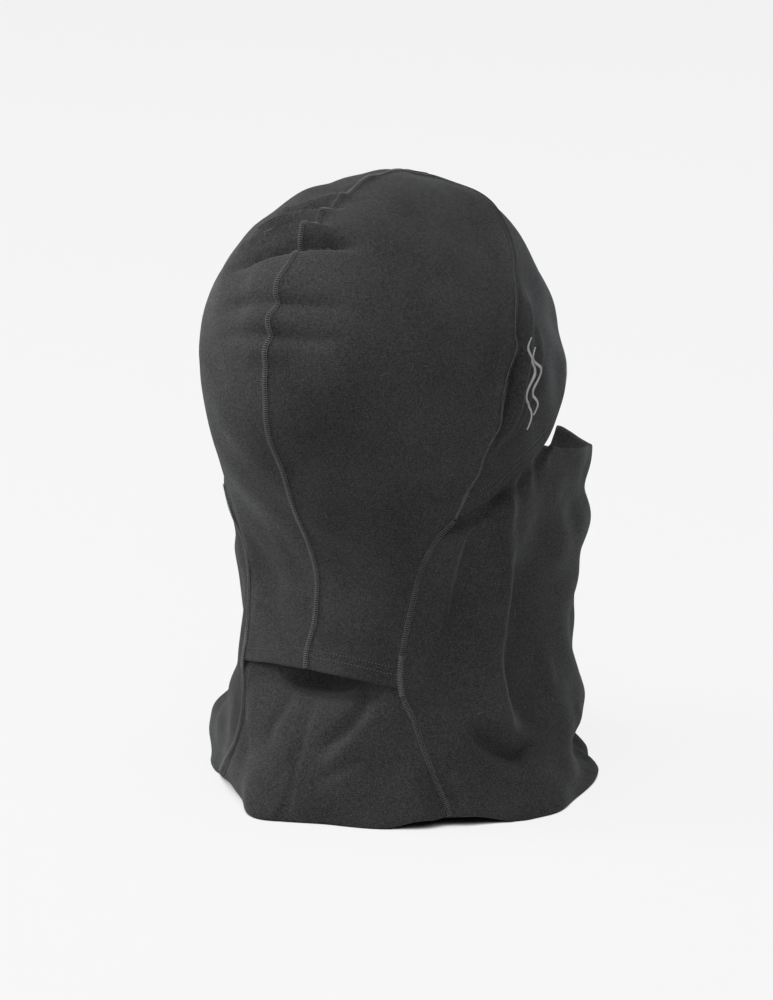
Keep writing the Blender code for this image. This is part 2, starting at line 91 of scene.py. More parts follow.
# turn, height, depth, reach in degrees and rise: what the gaiter's slack does to its outline
GAITER_BUMPS = (
    (-8, 0.002, 0.009, 11, 0.014),
    (-42, 0.000, -0.008, 16, 0.020),
    (-64, 0.000, -0.008, 24, 0.011),
    (-62, 0.053, -0.003, 20, 0.012),
    (-85, 0.052, -0.006, 40, 0.016),
    (134, 0.0145, -0.0132, 32, 0.011),
    (76, 0.000, 0.0060, 22, 0.012),
    (110, 0.000, 0.0020, 16, 0.008),
    (142, 0.123, -0.0066, 30, 0.0115),
    (-98, 0.000, 0.0066, 20, 0.012),
    (-60, 0.036, -0.0042, 18, 0.008),
    (-27, 0.000, -0.0045, 11, 0.009),
    (122, 0.109, 0.0015, 26, 0.010),
)

# ---- seams on the right side, and edges as (turn, height) ----
BROW_SEAM = (
    (0.0000, -0.0310, 0.2755),
    (-0.0140, -0.0285, 0.2735),
    (-0.0280, -0.0235, 0.2690),
    (-0.0430, -0.0180, 0.2600),
    (-0.0590, -0.0110, 0.2490),
    (-0.0620, -0.0020, 0.2440),
    (-0.0684, 0.0126, 0.2340),
    (-0.0736, 0.0215, 0.2220),
    (-0.0745, 0.0290, 0.2070),
    (-0.0745, 0.0345, 0.1940),
    (-0.0738, 0.0375, 0.1820),
    (-0.0710, 0.0430, 0.1690),
    (-0.0660, 0.0475, 0.1530),
    (-0.0610, 0.0500, 0.1390),
)
SIDE_SEAM = (
    (-0.061, 0.0500, 0.139),
    (-0.054, 0.0555, 0.129),
    (-0.0465, 0.0555, 0.1135),
    (-0.0430, 0.0570, 0.097),
    (-0.0415, 0.0600, 0.084),
    (-0.0410, 0.0625, 0.072),
    (-0.0420, 0.0640, 0.061),
)
LOWER_SEAMS = {
    "right": (
        (-0.0485, 0.0633, 0.047),
        (-0.0540, 0.0640, 0.035),
        (-0.0603, 0.0617, 0.018),
        (-0.0645, 0.0587, 0.004),
        (-0.0648, 0.0585, 0.000),
    ),
    "left": (
        (0.0400, 0.0665, 0.050),
        (0.0375, 0.0720, 0.038),
        (0.0395, 0.0735, 0.028),
        (0.0460, 0.0705, 0.018),
        (0.0550, 0.0615, 0.009),
        (0.0636, 0.0520, 0.000),
    ),
}
SIDES = {"right": 1, "left": -1}
BACK_SEAM = (
    (0.0, 0.077, 0.067),
    (0.0, 0.068, 0.108),
    (0.0, 0.109, 0.205),
    (0.0, 0.082, 0.262),
    (0.0, 0.030, 0.281),
    (0.0, -0.032, 0.274),
)
BROW_EDGE = (
    (56, 0.138), (62, 0.1414), (73, 0.1472), (86, 0.1555), (100, 0.1610),
    (112, 0.170), (128, 0.181), (150, 0.190), (180, 0.193),
)
MASK_EDGE = (
    (55, 0.147), (70, 0.155), (85, 0.1605), (99, 0.160), (113.5, 0.1545), (127, 0.1500),
    (134, 0.1478), (140, 0.1457), (150, 0.1420), (155, 0.1404), (160, 0.1407), (164.2, 0.1430),
    (166.2, 0.1439), (167.3, 0.1436), (169.0, 0.1348), (172, 0.1328), (180, 0.1300), (190, 0.1285),
    (205, 0.1305), (222, 0.1370), (240, 0.1490), (256, 0.1575), (272, 0.1605), (290, 0.155),
    (305, 0.147),
)
NAPE_EDGE = ((0, 0.067), (19, 0.0656), (37.6, 0.0614))
TUCKED_EDGE = ((0, 0.090), (20, 0.088), (39, 0.080))


# ======== curves


def through(keys, at):
    """Smooth value at each place in `at`, through rows of (place, value, ...)."""
    keys = np.asarray(keys, float)
    place, values = keys[:, 0], keys[:, 1:]
    slopes = np.gradient(values, place, axis=0)
    at = np.clip(np.asarray(at, float), place[0], place[-1])
    i = np.clip(np.searchsorted(place, at, side="right") - 1, 0, len(place) - 2)
    step = (place[i + 1] - place[i])[..., None]
    t = (at[..., None] - place[i][..., None]) / step
    return (
        (1 + 2 * t) * (1 - t) ** 2 * values[i]
        + t * (1 - t) ** 2 * step * slopes[i]
        + t * t * (3 - 2 * t) * values[i + 1]
        + t * t * (t - 1) * step * slopes[i + 1]
    )


def lengths(points):
    steps = np.linalg.norm(np.diff(points, axis=0), axis=1)
    return np.concatenate([[0], np.cumsum(steps)])


def at_shares(points, shares, detail=1500):
    """Places at the given shares of the length of a smooth line through points."""
    points = np.asarray(points, float)
    keys = np.column_stack([lengths(points), points])
    line = through(keys, np.linspace(0, keys[-1, 0], detail))
    along = lengths(line)
    at = np.asarray(shares) * along[-1]
    return np.column_stack([np.interp(at, along, line[:, k]) for k in range(3)])


def spaced(points, count):
    """`count` places, evenly spaced along a smooth line through points."""
    return at_shares(points, np.linspace(0, 1, count), 600)


def ease(low, high, value):
    t = np.clip((value - low) / (high - low), 0, 1)
    return t * t * (3 - 2 * t)


def unit(v):
    return v / np.maximum(np.linalg.norm(v, axis=-1, keepdims=True), 1e-12)


# ======== the forms that fill the cloth


def level_radius(levels, turn, z):
    """Radius of a form's level outline at `turn` radians round from the back."""
    half, back, front, centre, back_n, front_n = np.moveaxis(through(levels, z), -1, 0)
    rear = np.cos(turn) >= 0
    depth = np.where(rear, back - centre, centre - front)
    n = np.where(rear, back_n, front_n)
    return (np.abs(np.cos(turn) / depth) ** n + np.abs(np.sin(turn) / half) ** n) ** (-1 / n)


def level_centre(levels, z):
    return through(levels, z)[..., 3]


def dome_power(turn):
    return 2.06 + 0.1 * np.cos(turn) - 0.24 * np.sin(turn) ** 2


def hood_fullness(point):
    """1 on the hood's form, less inside it and more outside it."""
    z = np.minimum(point[..., 2], EQUATOR)
    centre = level_centre(HOOD_LEVELS, z)
    turn = np.arctan2(-point[..., 0], point[..., 1] - centre)
    out = np.hypot(point[..., 0], point[..., 1] - centre) / level_radius(HOOD_LEVELS, turn, z)
    up = np.maximum(point[..., 2] - EQUATOR, 0) / (TOP - EQUATOR)
    m = dome_power(turn)
    return (out**m + up**m) ** (1 / m)


def on_hood(point):
    """Moves a point out or in to the hood's form."""
    point = np.asarray(point, float)
    z = np.minimum(point[..., 2], EQUATOR)
    hub = np.stack([0 * z, level_centre(HOOD_LEVELS, z), z], -1)
    return hub + (point - hub) / hood_fullness(point)[..., None]


def hood_at(degrees, z):
    """Point of the hood's form at a turn and height."""
    turn, z = np.broadcast_arrays(np.radians(degrees), np.asarray(z, float))
    low = np.minimum(z, EQUATOR)
    up = np.clip((z - EQUATOR) / (TOP - EQUATOR), 0, 1)
    m = dome_power(turn)
    r = level_radius(HOOD_LEVELS, turn, low) * (1 - up**m) ** (1 / m)
    centre = level_centre(HOOD_LEVELS, low)
    return np.stack([-r * np.sin(turn), centre + r * np.cos(turn), z], -1)


def hood_normal(point, step=1e-4):
    n = [hood_fullness(point + step * e) - hood_fullness(point - step * e) for e in np.eye(3)]
    return unit(np.stack(n, -1))


def seam_line(side):
    """A side seam from its junction to the table."""
    keys = np.array(SIDE_SEAM + LOWER_SEAMS[side])
    if side == "left":
        keys[: len(SIDE_SEAM), 0] *= -1
    return spaced(keys, 400)


SEAM_LINES = {side: seam_line(side) for side in SIDES}


def seam_polar(side, z):
    """Turn and radius of a side seam at a height, about the gaiter's centre."""
    line = SEAM_LINES[side][::-1]
    x, y = (np.interp(z, line[:, 2], line[:, k]) for k in (0, 1))
    y = y - level_centre(GAITER_LEVELS, z)
    return np.arctan2(-x, y), np.hypot(x, y)


def gaiter_form(turn, z):
    """Radius of the gaiter's form with its bumps, before the seams draw it in."""
    r = level_radius(GAITER_LEVELS, turn, z)
    for at, height, depth, reach, rise in GAITER_BUMPS:
        off = (np.degrees(turn) - at + 180) % 360 - 180
        r = r + depth * np.exp(-((off / reach) ** 2) - ((z - height) / rise) ** 2)
    return r


def gaiter_radius(turn, z):
    """Radius of the gaiter, drawn in or out to meet the side seams."""
    r = gaiter_form(turn, z)
    for side in SIDES:
        seam_turn, seam_r = seam_polar(side, z)
        off = (np.degrees(turn - seam_turn) + 180) % 360 - 180
        r = r + (seam_r - gaiter_form(seam_turn, z)) * (1 - ease(0, 34, np.abs(off)))
    return r


def around(turn):
    """The turn in degrees from the middle of the back, 0 to 180, on either side."""
    return 180 - np.abs(180 - np.degrees(turn) % 360)


def brow_edge(turn):
    return through(BROW_EDGE, around(turn))[..., 0]


def mask_edge(turn):
    return through(MASK_EDGE, np.degrees(turn) % 360)[..., 0]


def gaiter_at(turn, z, tucked=False):
    """Point of the gaiter; its front goes in under the brow, its back under the nape."""
    turn, z = np.broadcast_arrays(np.asarray(turn, float), np.asarray(z, float))
    r = gaiter_radius(turn, z)
    hood_centre = level_centre(HOOD_LEVELS, np.maximum(z, HOOD_LEVELS[0][0]))
    shift = level_centre(GAITER_LEVELS, z) - hood_centre
    inside = level_radius(HOOD_LEVELS, turn, z) - shift * np.cos(turn) - TUCK
    if tucked:
        amount = ease(0.046, 0.060, z)
    else:
        amount = ease(-0.008, -0.001, z - brow_edge(turn))
    r = r - amount * np.maximum(r - inside, 0)
    centre = level_centre(GAITER_LEVELS, z)
    return np.stack([-r * np.sin(turn), centre + r * np.cos(turn), z], -1)


def gaiter_normal(point, tucked=False, step=2e-3):
    """Outward normal of the gaiter's form at a point on it."""
    turn = np.arctan2(-point[..., 0], point[..., 1] - level_centre(GAITER_LEVELS, point[..., 2]))
    swing = step / 0.08
    z = point[..., 2]
    across = gaiter_at(turn - swing, z, tucked) - gaiter_at(turn + swing, z, tucked)
    up = gaiter_at(turn, z + step, tucked) - gaiter_at(turn, np.maximum(z - step, 0), tucked)
    n = unit(np.cross(across, up))
    return n * np.sign(np.sum(n * point * (1, 1, 0), -1, keepdims=True))


# ======== folds


class Fold:
    """A ridge (height above 0) or valley (below 0) along a smooth line on a form.

    before and after are its reach to the left and right of the line, looking along it;
    sharp is the share of that reach over which its crest is rounded.
    """

    def __init__(self, line, height, before, after=None, sharp=0.6, ends=(0.25, 0.25)):
        self.line = line
        self.height = height
        self.reach = (before, after or before)
        self.sharp = sharp
        self.ends = ends

    def lift(self, point, normal):
        a, b = self.line[:-1], self.line[1:]
        way = b - a
        size = np.sum(way * way, -1)
        off = point[:, None, :] - a[None]
        t = np.clip(np.sum(off * way[None], -1) / size, 0, 1)
        gap = off - t[..., None] * way[None]
        far = np.sum(gap * gap, -1)
        k = np.argmin(far, axis=1)
        rows = np.arange(len(point))
        place = (k + t[rows, k]) / len(a)
        gap = gap[rows, k]
        side = np.sum(np.cross(unit(way[k]), normal) * gap, -1)
        reach = np.where(side > 0, self.reach[1], self.reach[0])
        x = np.sqrt(far[rows, k]) / reach
        cross = np.exp(-(np.sqrt(x * x + self.sharp**2) - self.sharp) * (1 + x))
        start, end = self.ends
        along = ease(0, max(start, 1e-6), place) if start else 1.0
        along = along * (ease(0, max(end, 1e-6), 1 - place) if end else 1.0)
        return self.height * cross * along


def hood_fold(keys, height, *args, **more):
    """A fold through (turn, height) places on the hood; heights in millimetres."""
    keys = np.array(keys, float)
    line = spaced(hood_at(keys[:, 0], keys[:, 1] * MM), 22)
    return Fold(line, height * MM, *(a * MM for a in args), **more)


def gaiter_fold(keys, height, *args, tucked=False, **more):
    keys = np.array(keys, float)
    line = spaced(gaiter_at(np.radians(keys[:, 0]), keys[:, 1] * MM, tucked), 22)
    return Fold(line, height * MM, *(a * MM for a in args), **more)


def ripples(seed, count, longest, shortest, height):
    """Gentle unevenness: a sum of plane waves of mixed direction and length."""
    draw = np.random.default_rng(seed)
    way = unit(draw.normal(size=(count, 3)))
    wave = np.exp(draw.uniform(math.log(shortest), math.log(longest), count))
    phase = draw.uniform(0, 2 * math.pi, count)
    size = height * (wave / longest) ** 0.8

    def lift(point):
        return (np.sin(point @ (way * 2 * math.pi / wave[:, None]).T + phase) * size).sum(-1)

    return lift


HOOD_RIPPLE = ripples(11, 14, 0.075, 0.022, 0.45 * MM)
GAITER_RIPPLE = ripples(23, 18, 0.070, 0.018, 0.55 * MM)

HOOD_FOLDS = (
    # puckers across the top of the centre seam: rolls with steep faces and troughs between
    hood_fold(((-16, 277.5), (-6, 279.6), (4, 280.2), (16, 280)), 1.1, 3.4, 4.0),
    hood_fold(((-30, 265), (-19, 271), (-9, 275), (0, 276.6), (9, 277)), 2.9, 2.4, 3.4, sharp=0.4),
    hood_fold(((-24, 268), (-12, 272), (0, 273.8), (10, 274)), -1.7, 2.4, 2.2),
    hood_fold(((-36, 255), (-24, 264), (-10, 270.2), (0, 271.8), (9, 272)), 2.4, 2.4, 3.0, sharp=0.4),
    hood_fold(((-28, 259), (-14, 266.5), (0, 268.8), (10, 269.2)), -1.8, 2.2, 2.2),
    hood_fold(
        ((-36, 248), (-24, 257.5), (-10, 263.8), (0, 265.3), (8, 265.8), (17, 265)),
        4.0, 2.6, 3.0, sharp=0.4,
    ),
    hood_fold(((-32, 244), (-18, 254), (-8, 258.8), (2, 261.4), (12, 262.2), (26, 261)), -5.6, 2.4, 3.4),
    hood_fold(((-26, 231), (-10, 237.5), (0, 239.5), (8, 240), (24, 239)), -2.4, 2.6, 3.4),
    hood_fold(((-16, 245), (-5, 247), (0, 247.5), (8, 247)), 0.9, 4.0, 4.0),
    hood_fold(((-12, 230), (0, 233), (10, 233.5)), 0.8, 3.4, 3.4),
    hood_fold(((-22, 220), (-8, 224.5), (0, 226), (10, 226.5), (24, 225)), -1.9, 2.8, 3.6),
    hood_fold(((-9, 217), (0, 219), (8, 219)), 0.6, 3.4, 3.4),
    hood_fold(((-8, 210), (0, 212), (9, 212)), -0.5, 3.2, 3.6),
    # the temples are flatter than the dome
    hood_fold(
        ((126, 264), (124, 248), (122, 230), (120, 212), (118, 194)),
        -5.8, 28, 28, sharp=1.2, ends=(0.45, 0.3),
    ),
    hood_fold(((-84, 266), (-58, 272.5), (-34, 277), (-8, 279)), 1.4, 9, 9, ends=(0.35, 0.35)),
    hood_fold(((-116, 252), (-116, 232), (-114, 210)), -3.0, 20, 20, sharp=1.0, ends=(0.3, 0.3)),
    # the brow's cloth sinks beside the right temple's seam
    hood_fold(
        ((108, 246), (97, 238), (88, 228), (83, 214), (79, 200), (74, 186), (68, 172)),
        -2.2, 3.0, 1.6, ends=(0.35, 0.2),
    ),
    hood_fold(((86, 217), (80, 205), (76, 191), (73, 180), (69, 170)), -2.2, 2.6, 1.6),
    # tension creases that fan out of the right temple's tack
    hood_fold(
        ((106, 236), (97, 226), (91, 217), (86, 206), (82, 195), (77.5, 184), (72, 175), (65, 163)),
        2.2, 3.2, 2.4,
    ),
    hood_fold(((104, 222), (96, 206), (88, 190), (80, 177), (71, 165)), 0.8, 2.6, 2.6),
    hood_fold(((98, 206), (90, 192), (82, 179), (72, 166)), -0.8, 2.2, 2.2),
    hood_fold(((70, 226), (72, 214), (70, 204), (68, 194)), -0.5, 2.2, 2.2),
    # long soft pulls over the crown and down to the nape
    hood_fold(((34, 244), (50, 251), (66, 254), (84, 252)), 0.35, 6.0, 6.0),
    hood_fold(((30, 228), (44, 240), (56, 247), (74, 248)), -0.3, 5.0, 6.0),
    hood_fold(((22, 150), (28, 128), (33, 108), (35, 88)), 0.5, 6.0, 8.0),
    hood_fold(((12, 128), (15, 108), (17, 90), (17, 74)), -0.5, 6.0, 6.0),
    hood_fold(((-18, 134), (-16, 112), (-14, 92), (-14, 74)), 0.5, 6.0, 6.0),
    hood_fold(((-36, 128), (-31, 112), (-25, 100), (-17, 92)), -0.5, 5.0, 7.0),
    # the left temple, which pulls a little differently
    hood_fold(((-120, 258), (-106, 247), (-94, 238), (-82, 222)), 0.6, 5.5, 1.2),
    hood_fold(((-82, 222), (-75, 204), (-70, 188), (-64, 170), (-57, 150)), 0.8, 6.0, 1.2),
    hood_fold(((-90, 228), (-81, 206), (-75, 190), (-68, 172)), -0.9, 1.6, 3.0),
    hood_fold(((-104, 228), (-93, 208), (-84, 190), (-74, 174), (-64, 160)), 0.8, 2.4, 3.2),
    hood_fold(((-108, 204), (-96, 188), (-84, 174), (-72, 162)), 0.5, 3.0, 3.0),
)

GAITER_FOLDS = (
    # the two ridges that hang from the right temple's tack, and the hollow before them
    gaiter_fold(
        ((56, 143), (54, 128), (51.5, 112), (50, 98), (48, 84), (45, 70)),
        1.4, 4.0, 8.0, sharp=1.2, ends=(0.05, 0.5),
    ),
    gaiter_fold(
        ((61, 145), (59, 126), (57, 108), (55, 92), (53, 76), (50, 62)),
        -4.0, 9.0, 4.5, sharp=1.0, ends=(0.05, 0.4),
    ),
    gaiter_fold(
        ((67, 150), (71, 136), (73, 124), (74, 111), (74, 99),
         (72, 87), (70, 73), (68, 60), (68, 46), (71, 30)),
        5.0, 7.0, 13.0, sharp=1.2, ends=(0.12, 0.15),
    ),
    gaiter_fold(
        ((82, 124), (87, 110), (89, 96), (86, 80), (80, 64), (78, 48), (80, 34)),
        -6.5, 20.0, 7.5, sharp=1.0, ends=(0.3, 0.2),
    ),
    gaiter_fold(((80, 66), (92, 58), (106, 51)), 2.6, 9.0, 9.0, sharp=1.0, ends=(0.4, 0.4)),
    gaiter_fold(((76, 44), (86, 38), (98, 34)), -2.2, 6.0, 6.0, sharp=1.0, ends=(0.3, 0.4)),
    gaiter_fold(((56, 46), (61, 36), (69, 29), (84, 27)), -6.5, 4.5, 6.5),
    gaiter_fold(((54, 32), (62, 22), (74, 17), (86, 18)), 1.8, 5.0, 5.0),
    # gathers under the brow's hem
    gaiter_fold(((79, 157), (81, 149), (84, 138)), -1.3, 3.2, 3.0, sharp=0.9, ends=(0, 0.5)),
    gaiter_fold(((85, 160), (86.5, 150), (89, 136)), 0.8, 3.0, 3.0, sharp=0.9, ends=(0, 0.5)),
    gaiter_fold(((91, 163), (93, 152), (95, 138)), -1.1, 3.2, 3.2, sharp=0.9, ends=(0, 0.5)),
    gaiter_fold(((97, 165), (100, 152), (104, 138)), 0.8, 3.4, 3.6, sharp=0.9, ends=(0, 0.6)),
    gaiter_fold(((73, 152), (74, 144), (77, 132)), 0.6, 3.0, 3.0, sharp=0.9, ends=(0, 0.5)),
    gaiter_fold(((150, 130), (136, 134), (124, 135), (114, 131), (106, 124)), -1.2, 5.0, 7.0, sharp=1.0),
    gaiter_fold(((112, 18), (100, 12), (86, 8), (70, 3)), 1.6, 6.0, 10.0, ends=(0.4, 0)),
    gaiter_fold(((60, 14), (48, 8), (30, 3)), 1.6, 8.0, 9.0, ends=(0.5, 0.4)),
    # slack at the right of the front, over the table
    gaiter_fold(((106, 27), (105, 20), (110, 12), (118, 6)), -1.4, 5.0, 5.0, sharp=1.0),
    gaiter_fold(((108, 34), (118, 24), (132, 17)), 1.2, 7.0, 5.0, sharp=1.0),
    # the back, below the nape
    gaiter_fold(((-5, 56), (-9, 47), (-12, 38), (-12, 28)), -1.5, 3.0, 4.0, tucked=True),
    gaiter_fold(((29, 60), (23, 48), (17, 36), (10, 27), (5, 18)), 0.7, 7.0, 4.0, tucked=True),
    gaiter_fold(((26, 62), (20, 50), (14, 40), (6, 30)), -2.6, 3.0, 4.0, tucked=True),
    gaiter_fold(((5, 56), (2, 42), (0, 26), (-1, 6)), -1.1, 1.6, 4.5, tucked=True, ends=(0.2, 0)),
    gaiter_fold(((24, 33), (15, 25), (6, 18)), -1.3, 2.2, 3.6, tucked=True),
    gaiter_fold(((-2, 24), (-2, 14), (-3, 4)), 1.2, 2.0, 2.0, tucked=True, ends=(0.3, 0)),
    gaiter_fold(((-26, 64), (-10, 62), (10, 61), (33, 61)), -15.0, 12.0, 7.0, tucked=True, ends=(0.5, 0.4)),
    gaiter_fold(((-30, 42), (-24, 30), (-22, 16)), -1.2, 4.0, 4.0, tucked=True),
    # the left side
    gaiter_fold(((-56, 118), (-58, 102), (-60, 84), (-60, 66)), 1.6, 6.0, 6.0),
    gaiter_fold(((-76, 150), (-80, 130), (-84, 108), (-84, 84), (-80, 60)), 2.8, 8.0, 5.0),
    gaiter_fold(((-70, 142), (-71, 120), (-72, 98), (-70, 74)), -1.6, 5.0, 5.0),
    gaiter_fold(((-92, 140), (-97, 112), (-98, 84), (-92, 58)), -2.8, 6.0, 10.0),
    gaiter_fold(((-66, 54), (-74, 38), (-86, 28)), -2.2, 6.0, 6.0),
    gaiter_fold(((-60, 34), (-74, 22), (-92, 17)), 1.8, 6.0, 6.0),
    gaiter_fold(((-84, 158), (-88, 146), (-92, 132)), 1.2, 2.8, 2.8, ends=(0, 0.5)),
    gaiter_fold(((-91, 160), (-95, 148), (-99, 134)), -1.2, 2.8, 2.8, ends=(0, 0.5)),
    # the front, under the mask
    gaiter_fold(((128, 112), (138, 96), (146, 78), (150, 58)), -1.6, 9.0, 9.0),
    gaiter_fold(((150, 128), (160, 104), (168, 84), (176, 70)), 1.3, 8.0, 8.0),
    gaiter_fold(((-148, 118), (-158, 96), (-166, 78)), -1.2, 8.0, 9.0),
    gaiter_fold(((-124, 120), (-130, 96), (-140, 74), (-152, 56)), 1.6, 9.0, 9.0),
    gaiter_fold(((134, 44), (156, 34), (178, 31)), 1.6, 7.0, 7.0),
    gaiter_fold(((-112, 40), (-134, 27), (-158, 22)), 1.6, 7.0, 6.0),
    gaiter_fold(((-120, 27), (-138, 15), (-158, 10)), -1.4, 5.0, 5.0),
)


# ======== the cloth's outer face

SIDE_RIDGES = [Fold(SEAM_LINES[side][::8], 0.45 * MM, 1.2 * MM, sharp=1.0, ends=(0, 0)) for side in SIDES]
QUIET = 9 * MM  # the side seams lie still over this breadth of cloth


def side_distance(point):
    """Distance from the nearer side seam."""
    found = np.full(len(point), 1.0)
    for side in SIDES:
        line = SEAM_LINES[side][::10]
        near = (point[:, 0] < 0) == (side == "right")
        off = point[near][:, None] - line[:-1]
        way = np.diff(line, axis=0)
        t = np.clip(np.sum(off * way, -1) / np.sum(way * way, -1), 0, 1)
        found[near] = np.linalg.norm(off - t[..., None] * way, axis=-1).min(axis=1)
    return found


def lifted(point, normal, folds, ripple, ridges, gate=1.0, inward=None):
    """Points moved along their normals by the folds, ripples and seam ridges.

    gate damps what stands out, and inward what falls in.
    """
    flat, up = point.reshape(-1, 3), normal.reshape(-1, 3)
    lift = ripple(flat) + sum(fold.lift(flat, up) for fold in folds)
    gates = (gate, gate if inward is None else inward)
    out, back = (np.broadcast_to(g, point.shape[:-1]).ravel() for g in gates)
    lift = lift * ease(0, QUIET, side_distance(flat)) * np.where(lift > 0, out, back)
    lift = lift + np.maximum.reduce([ridge.lift(flat, up) for ridge in ridges])
    moved = flat + up * lift[:, None]
    moved[:, 2] = np.maximum(moved[:, 2], 0)
    return moved.reshape(point.shape)


def on_hood_cloth(point):
    return lifted(point, hood_normal(point), (*HOOD_FOLDS, CROWN_EDGE), HOOD_RIPPLE, HOOD_RIDGES)


def on_gaiter_cloth(turn, z, tucked=False):
    """The gaiter's cloth at turns and heights; it lies quiet where the hood covers it."""
    turn, z = np.broadcast_arrays(np.asarray(turn, float), np.asarray(z, float))
    point = gaiter_at(turn, z, tucked)
    if tucked:
        gate, inward = 1 - ease(0.056, 0.070, z), 1 - ease(0.070, 0.080, z)
    else:
        gate = inward = 1 - ease(-0.006, 0.001, z - brow_edge(turn))
    up = gaiter_normal(point, tucked)
    return lifted(point, up, GAITER_FOLDS, GAITER_RIPPLE, SIDE_RIDGES, gate, inward)


# ======== lines on the hood

# height, and how far a seam strays there from its smooth line, in millimetres
BACK_WOBBLE = (
    (0.060, 0.0), (0.078, 0.9), (0.086, -0.9), (0.100, -0.7), (0.138, -0.9), (0.185, 0.0),
    (0.213, -0.5), (0.220, -0.5), (0.2265, -1.0), (0.2295, 0.0), (0.233, 0.3), (0.237, -0.7),
    (0.240, -0.5), (0.2430, 0.6), (0.246, 0.8), (0.251, 0.0), (0.257, -0.4), (0.2605, 1.2),
    (0.264, 0.9), (0.268, -0.5), (0.272, 0.8), (0.275, -0.3), (0.278, 0.6), (0.2815, 0.0),
)


def back_line():
    """The centre back seam, which wanders between the puckers, from the nape to the brow."""
    line = on_hood(spaced(BACK_SEAM, 420))
    fade = ease(0, 0.02, line[:, 1] - BROW_SEAM[0][1])
    line[:, 0] += through(BACK_WOBBLE, line[:, 2])[:, 0] * MM * fade
    return on_hood(line)


BROW_WOBBLE = (
    (0.139, 0.0), (0.145, 0.2), (0.1545, -0.3), (0.160, 0.9), (0.168, -0.3), (0.1757, 0.1),
    (0.1794, 1.4), (0.187, 0.4), (0.197, 0.4), (0.2074, 0.8), (0.2115, 2.2), (0.2148, 2.8),
    (0.2180, 0.5), (0.2227, 0.0), (0.2345, 0.5), (0.244, 0.3), (0.2492, -1.0), (0.256, 0.4),
    (0.2607, 0.6), (0.2695, 2.6), (0.2755, 0.0),
)


def brow_line():
    """The whole brow seam, from the right junction over the crown to the left one."""
    right = np.array(BROW_SEAM)[::-1]
    left = right[::-1] * (-1, 1, 1)
    line = on_hood(spaced(np.concatenate([right, left[1:]]), 401))
    wobble = through(BROW_WOBBLE, line[:, 2])[:, 0] * MM * (line[:, 0] < 0)
    centre = level_centre(HOOD_LEVELS, np.minimum(line[:, 2], EQUATOR))
    turn = np.arctan2(-line[:, 0], line[:, 1] - centre)
    line[:, 0] -= np.cos(turn) * wobble
    line[:, 1] -= np.sin(turn) * wobble
    return on_hood(line)


# the crown's edge stands proud of the brow along the right temple's seam
CROWN_EDGE = Fold(brow_line()[4:140:5], 2.0 * MM, 6.0 * MM, 1.0 * MM, ends=(0.1, 0.45))
HOOD_RIDGES = [
    Fold(back_line()[::7], 0.45 * MM, 1.2 * MM, sharp=1.0, ends=(0, 0)),
    Fold(brow_line()[::6], 0.35 * MM, 1.2 * MM, sharp=1.0, ends=(0, 0)),
    *SIDE_RIDGES,
]


# ======== grids


def graded(length, fine_low=True, fine_high=True, coarse=STEP, fine=0.45 * MM, growth=1.5):
    """Places from 0 to 1 along a length, closer together near the chosen ends."""
    run = [fine]
    while run[-1] * growth < coarse:
        run.append(run[-1] * growth)
    low = run if fine_low else []
    high = run[::-1] if fine_high else []
    middle = max(length - sum(low) - sum(high), coarse)
    count = math.ceil(middle / coarse)
    steps = np.array(low + [middle / count] * count + high)
    return np.concatenate([[0], np.cumsum(steps)]) / steps.sum()


def patch(left, right, bottom, top, s, t):
    """A panel between four edges, laid on the hood's form but kept exactly on its edges.

    left and right run from bottom to top; bottom and top run from left to right.
    """
    left, right = at_shares(left, t), at_shares(right, t)
    bottom, top = at_shares(bottom, s), at_shares(top, s)
    s, t = (a[..., None] for a in np.meshgrid(s, t))

    def filled(le, ri, bo, to):
        corners = (1 - t) * ((1 - s) * bo[0] + s * bo[-1]) + t * ((1 - s) * to[0] + s * to[-1])
        return (1 - s) * le[:, None] + s * ri[:, None] + (1 - t) * bo[None] + t * to[None] - corners

    edges = (left, right, bottom, top)
    return on_hood(filled(*edges)) + filled(*(e - on_hood(e) for e in edges))


def normals(grid):
    """Outward unit normals of a grid whose rows go up and whose columns go to the right."""
    return unit(np.cross(np.gradient(grid, axis=1), np.gradient(grid, axis=0)))


def distances(grid, axis):
    """How far each point lies along its row or column."""
    step = np.linalg.norm(np.diff(grid, axis=axis), axis=-1)
    start = np.zeros_like(np.take(step, [0], axis))
    return np.concatenate([start, np.cumsum(step, axis=axis)], axis=axis)


def meet(grid, target, reach):
    """Moves a grid's first column onto a line, and the next ones less and less."""
    gap = (target - grid[:, 0])[:, None]
    return grid + gap * (1 - ease(0, reach, distances(grid, 1)))[..., None]


# ======== meshes


def grid_faces(rows, columns, first=0, closed=False):
    """Quads facing outwards for a grid whose rows go up and whose columns go to the right."""
    i, j = np.meshgrid(np.arange(rows - 1), np.arange(columns - (not closed)), indexing="ij")
    k = (j + 1) % columns
    corners = (i * columns + j, i * columns + k, (i + 1) * columns + k, (i + 1) * columns + j)
    return np.stack(corners, -1).reshape(-1, 4) + first


def make(name, points, faces, finish, places=None):
    """A mesh object from arrays; places are its cloth coordinates, one pair for each point."""
    mesh = bpy.data.meshes.new(name)
    mesh.from_pydata(np.asarray(points).tolist(), [], [list(map(int, f)) for f in faces])
    mesh.shade_smooth()
    if places is not None:
        layer = mesh.uv_layers.new(name="weave")
        corner = np.zeros(len(mesh.loops), int)
        mesh.loops.foreach_get("vertex_index", corner)
        layer.uv.foreach_set("vector", np.asarray(places)[corner].astype(np.float32).ravel())
    mesh.set_sharp_from_angle(angle=math.radians(55))
    mesh.materials.append(MATERIALS[finish])
    obj = bpy.data.objects.new(name, mesh)
    bpy.context.collection.objects.link(obj)
    return obj


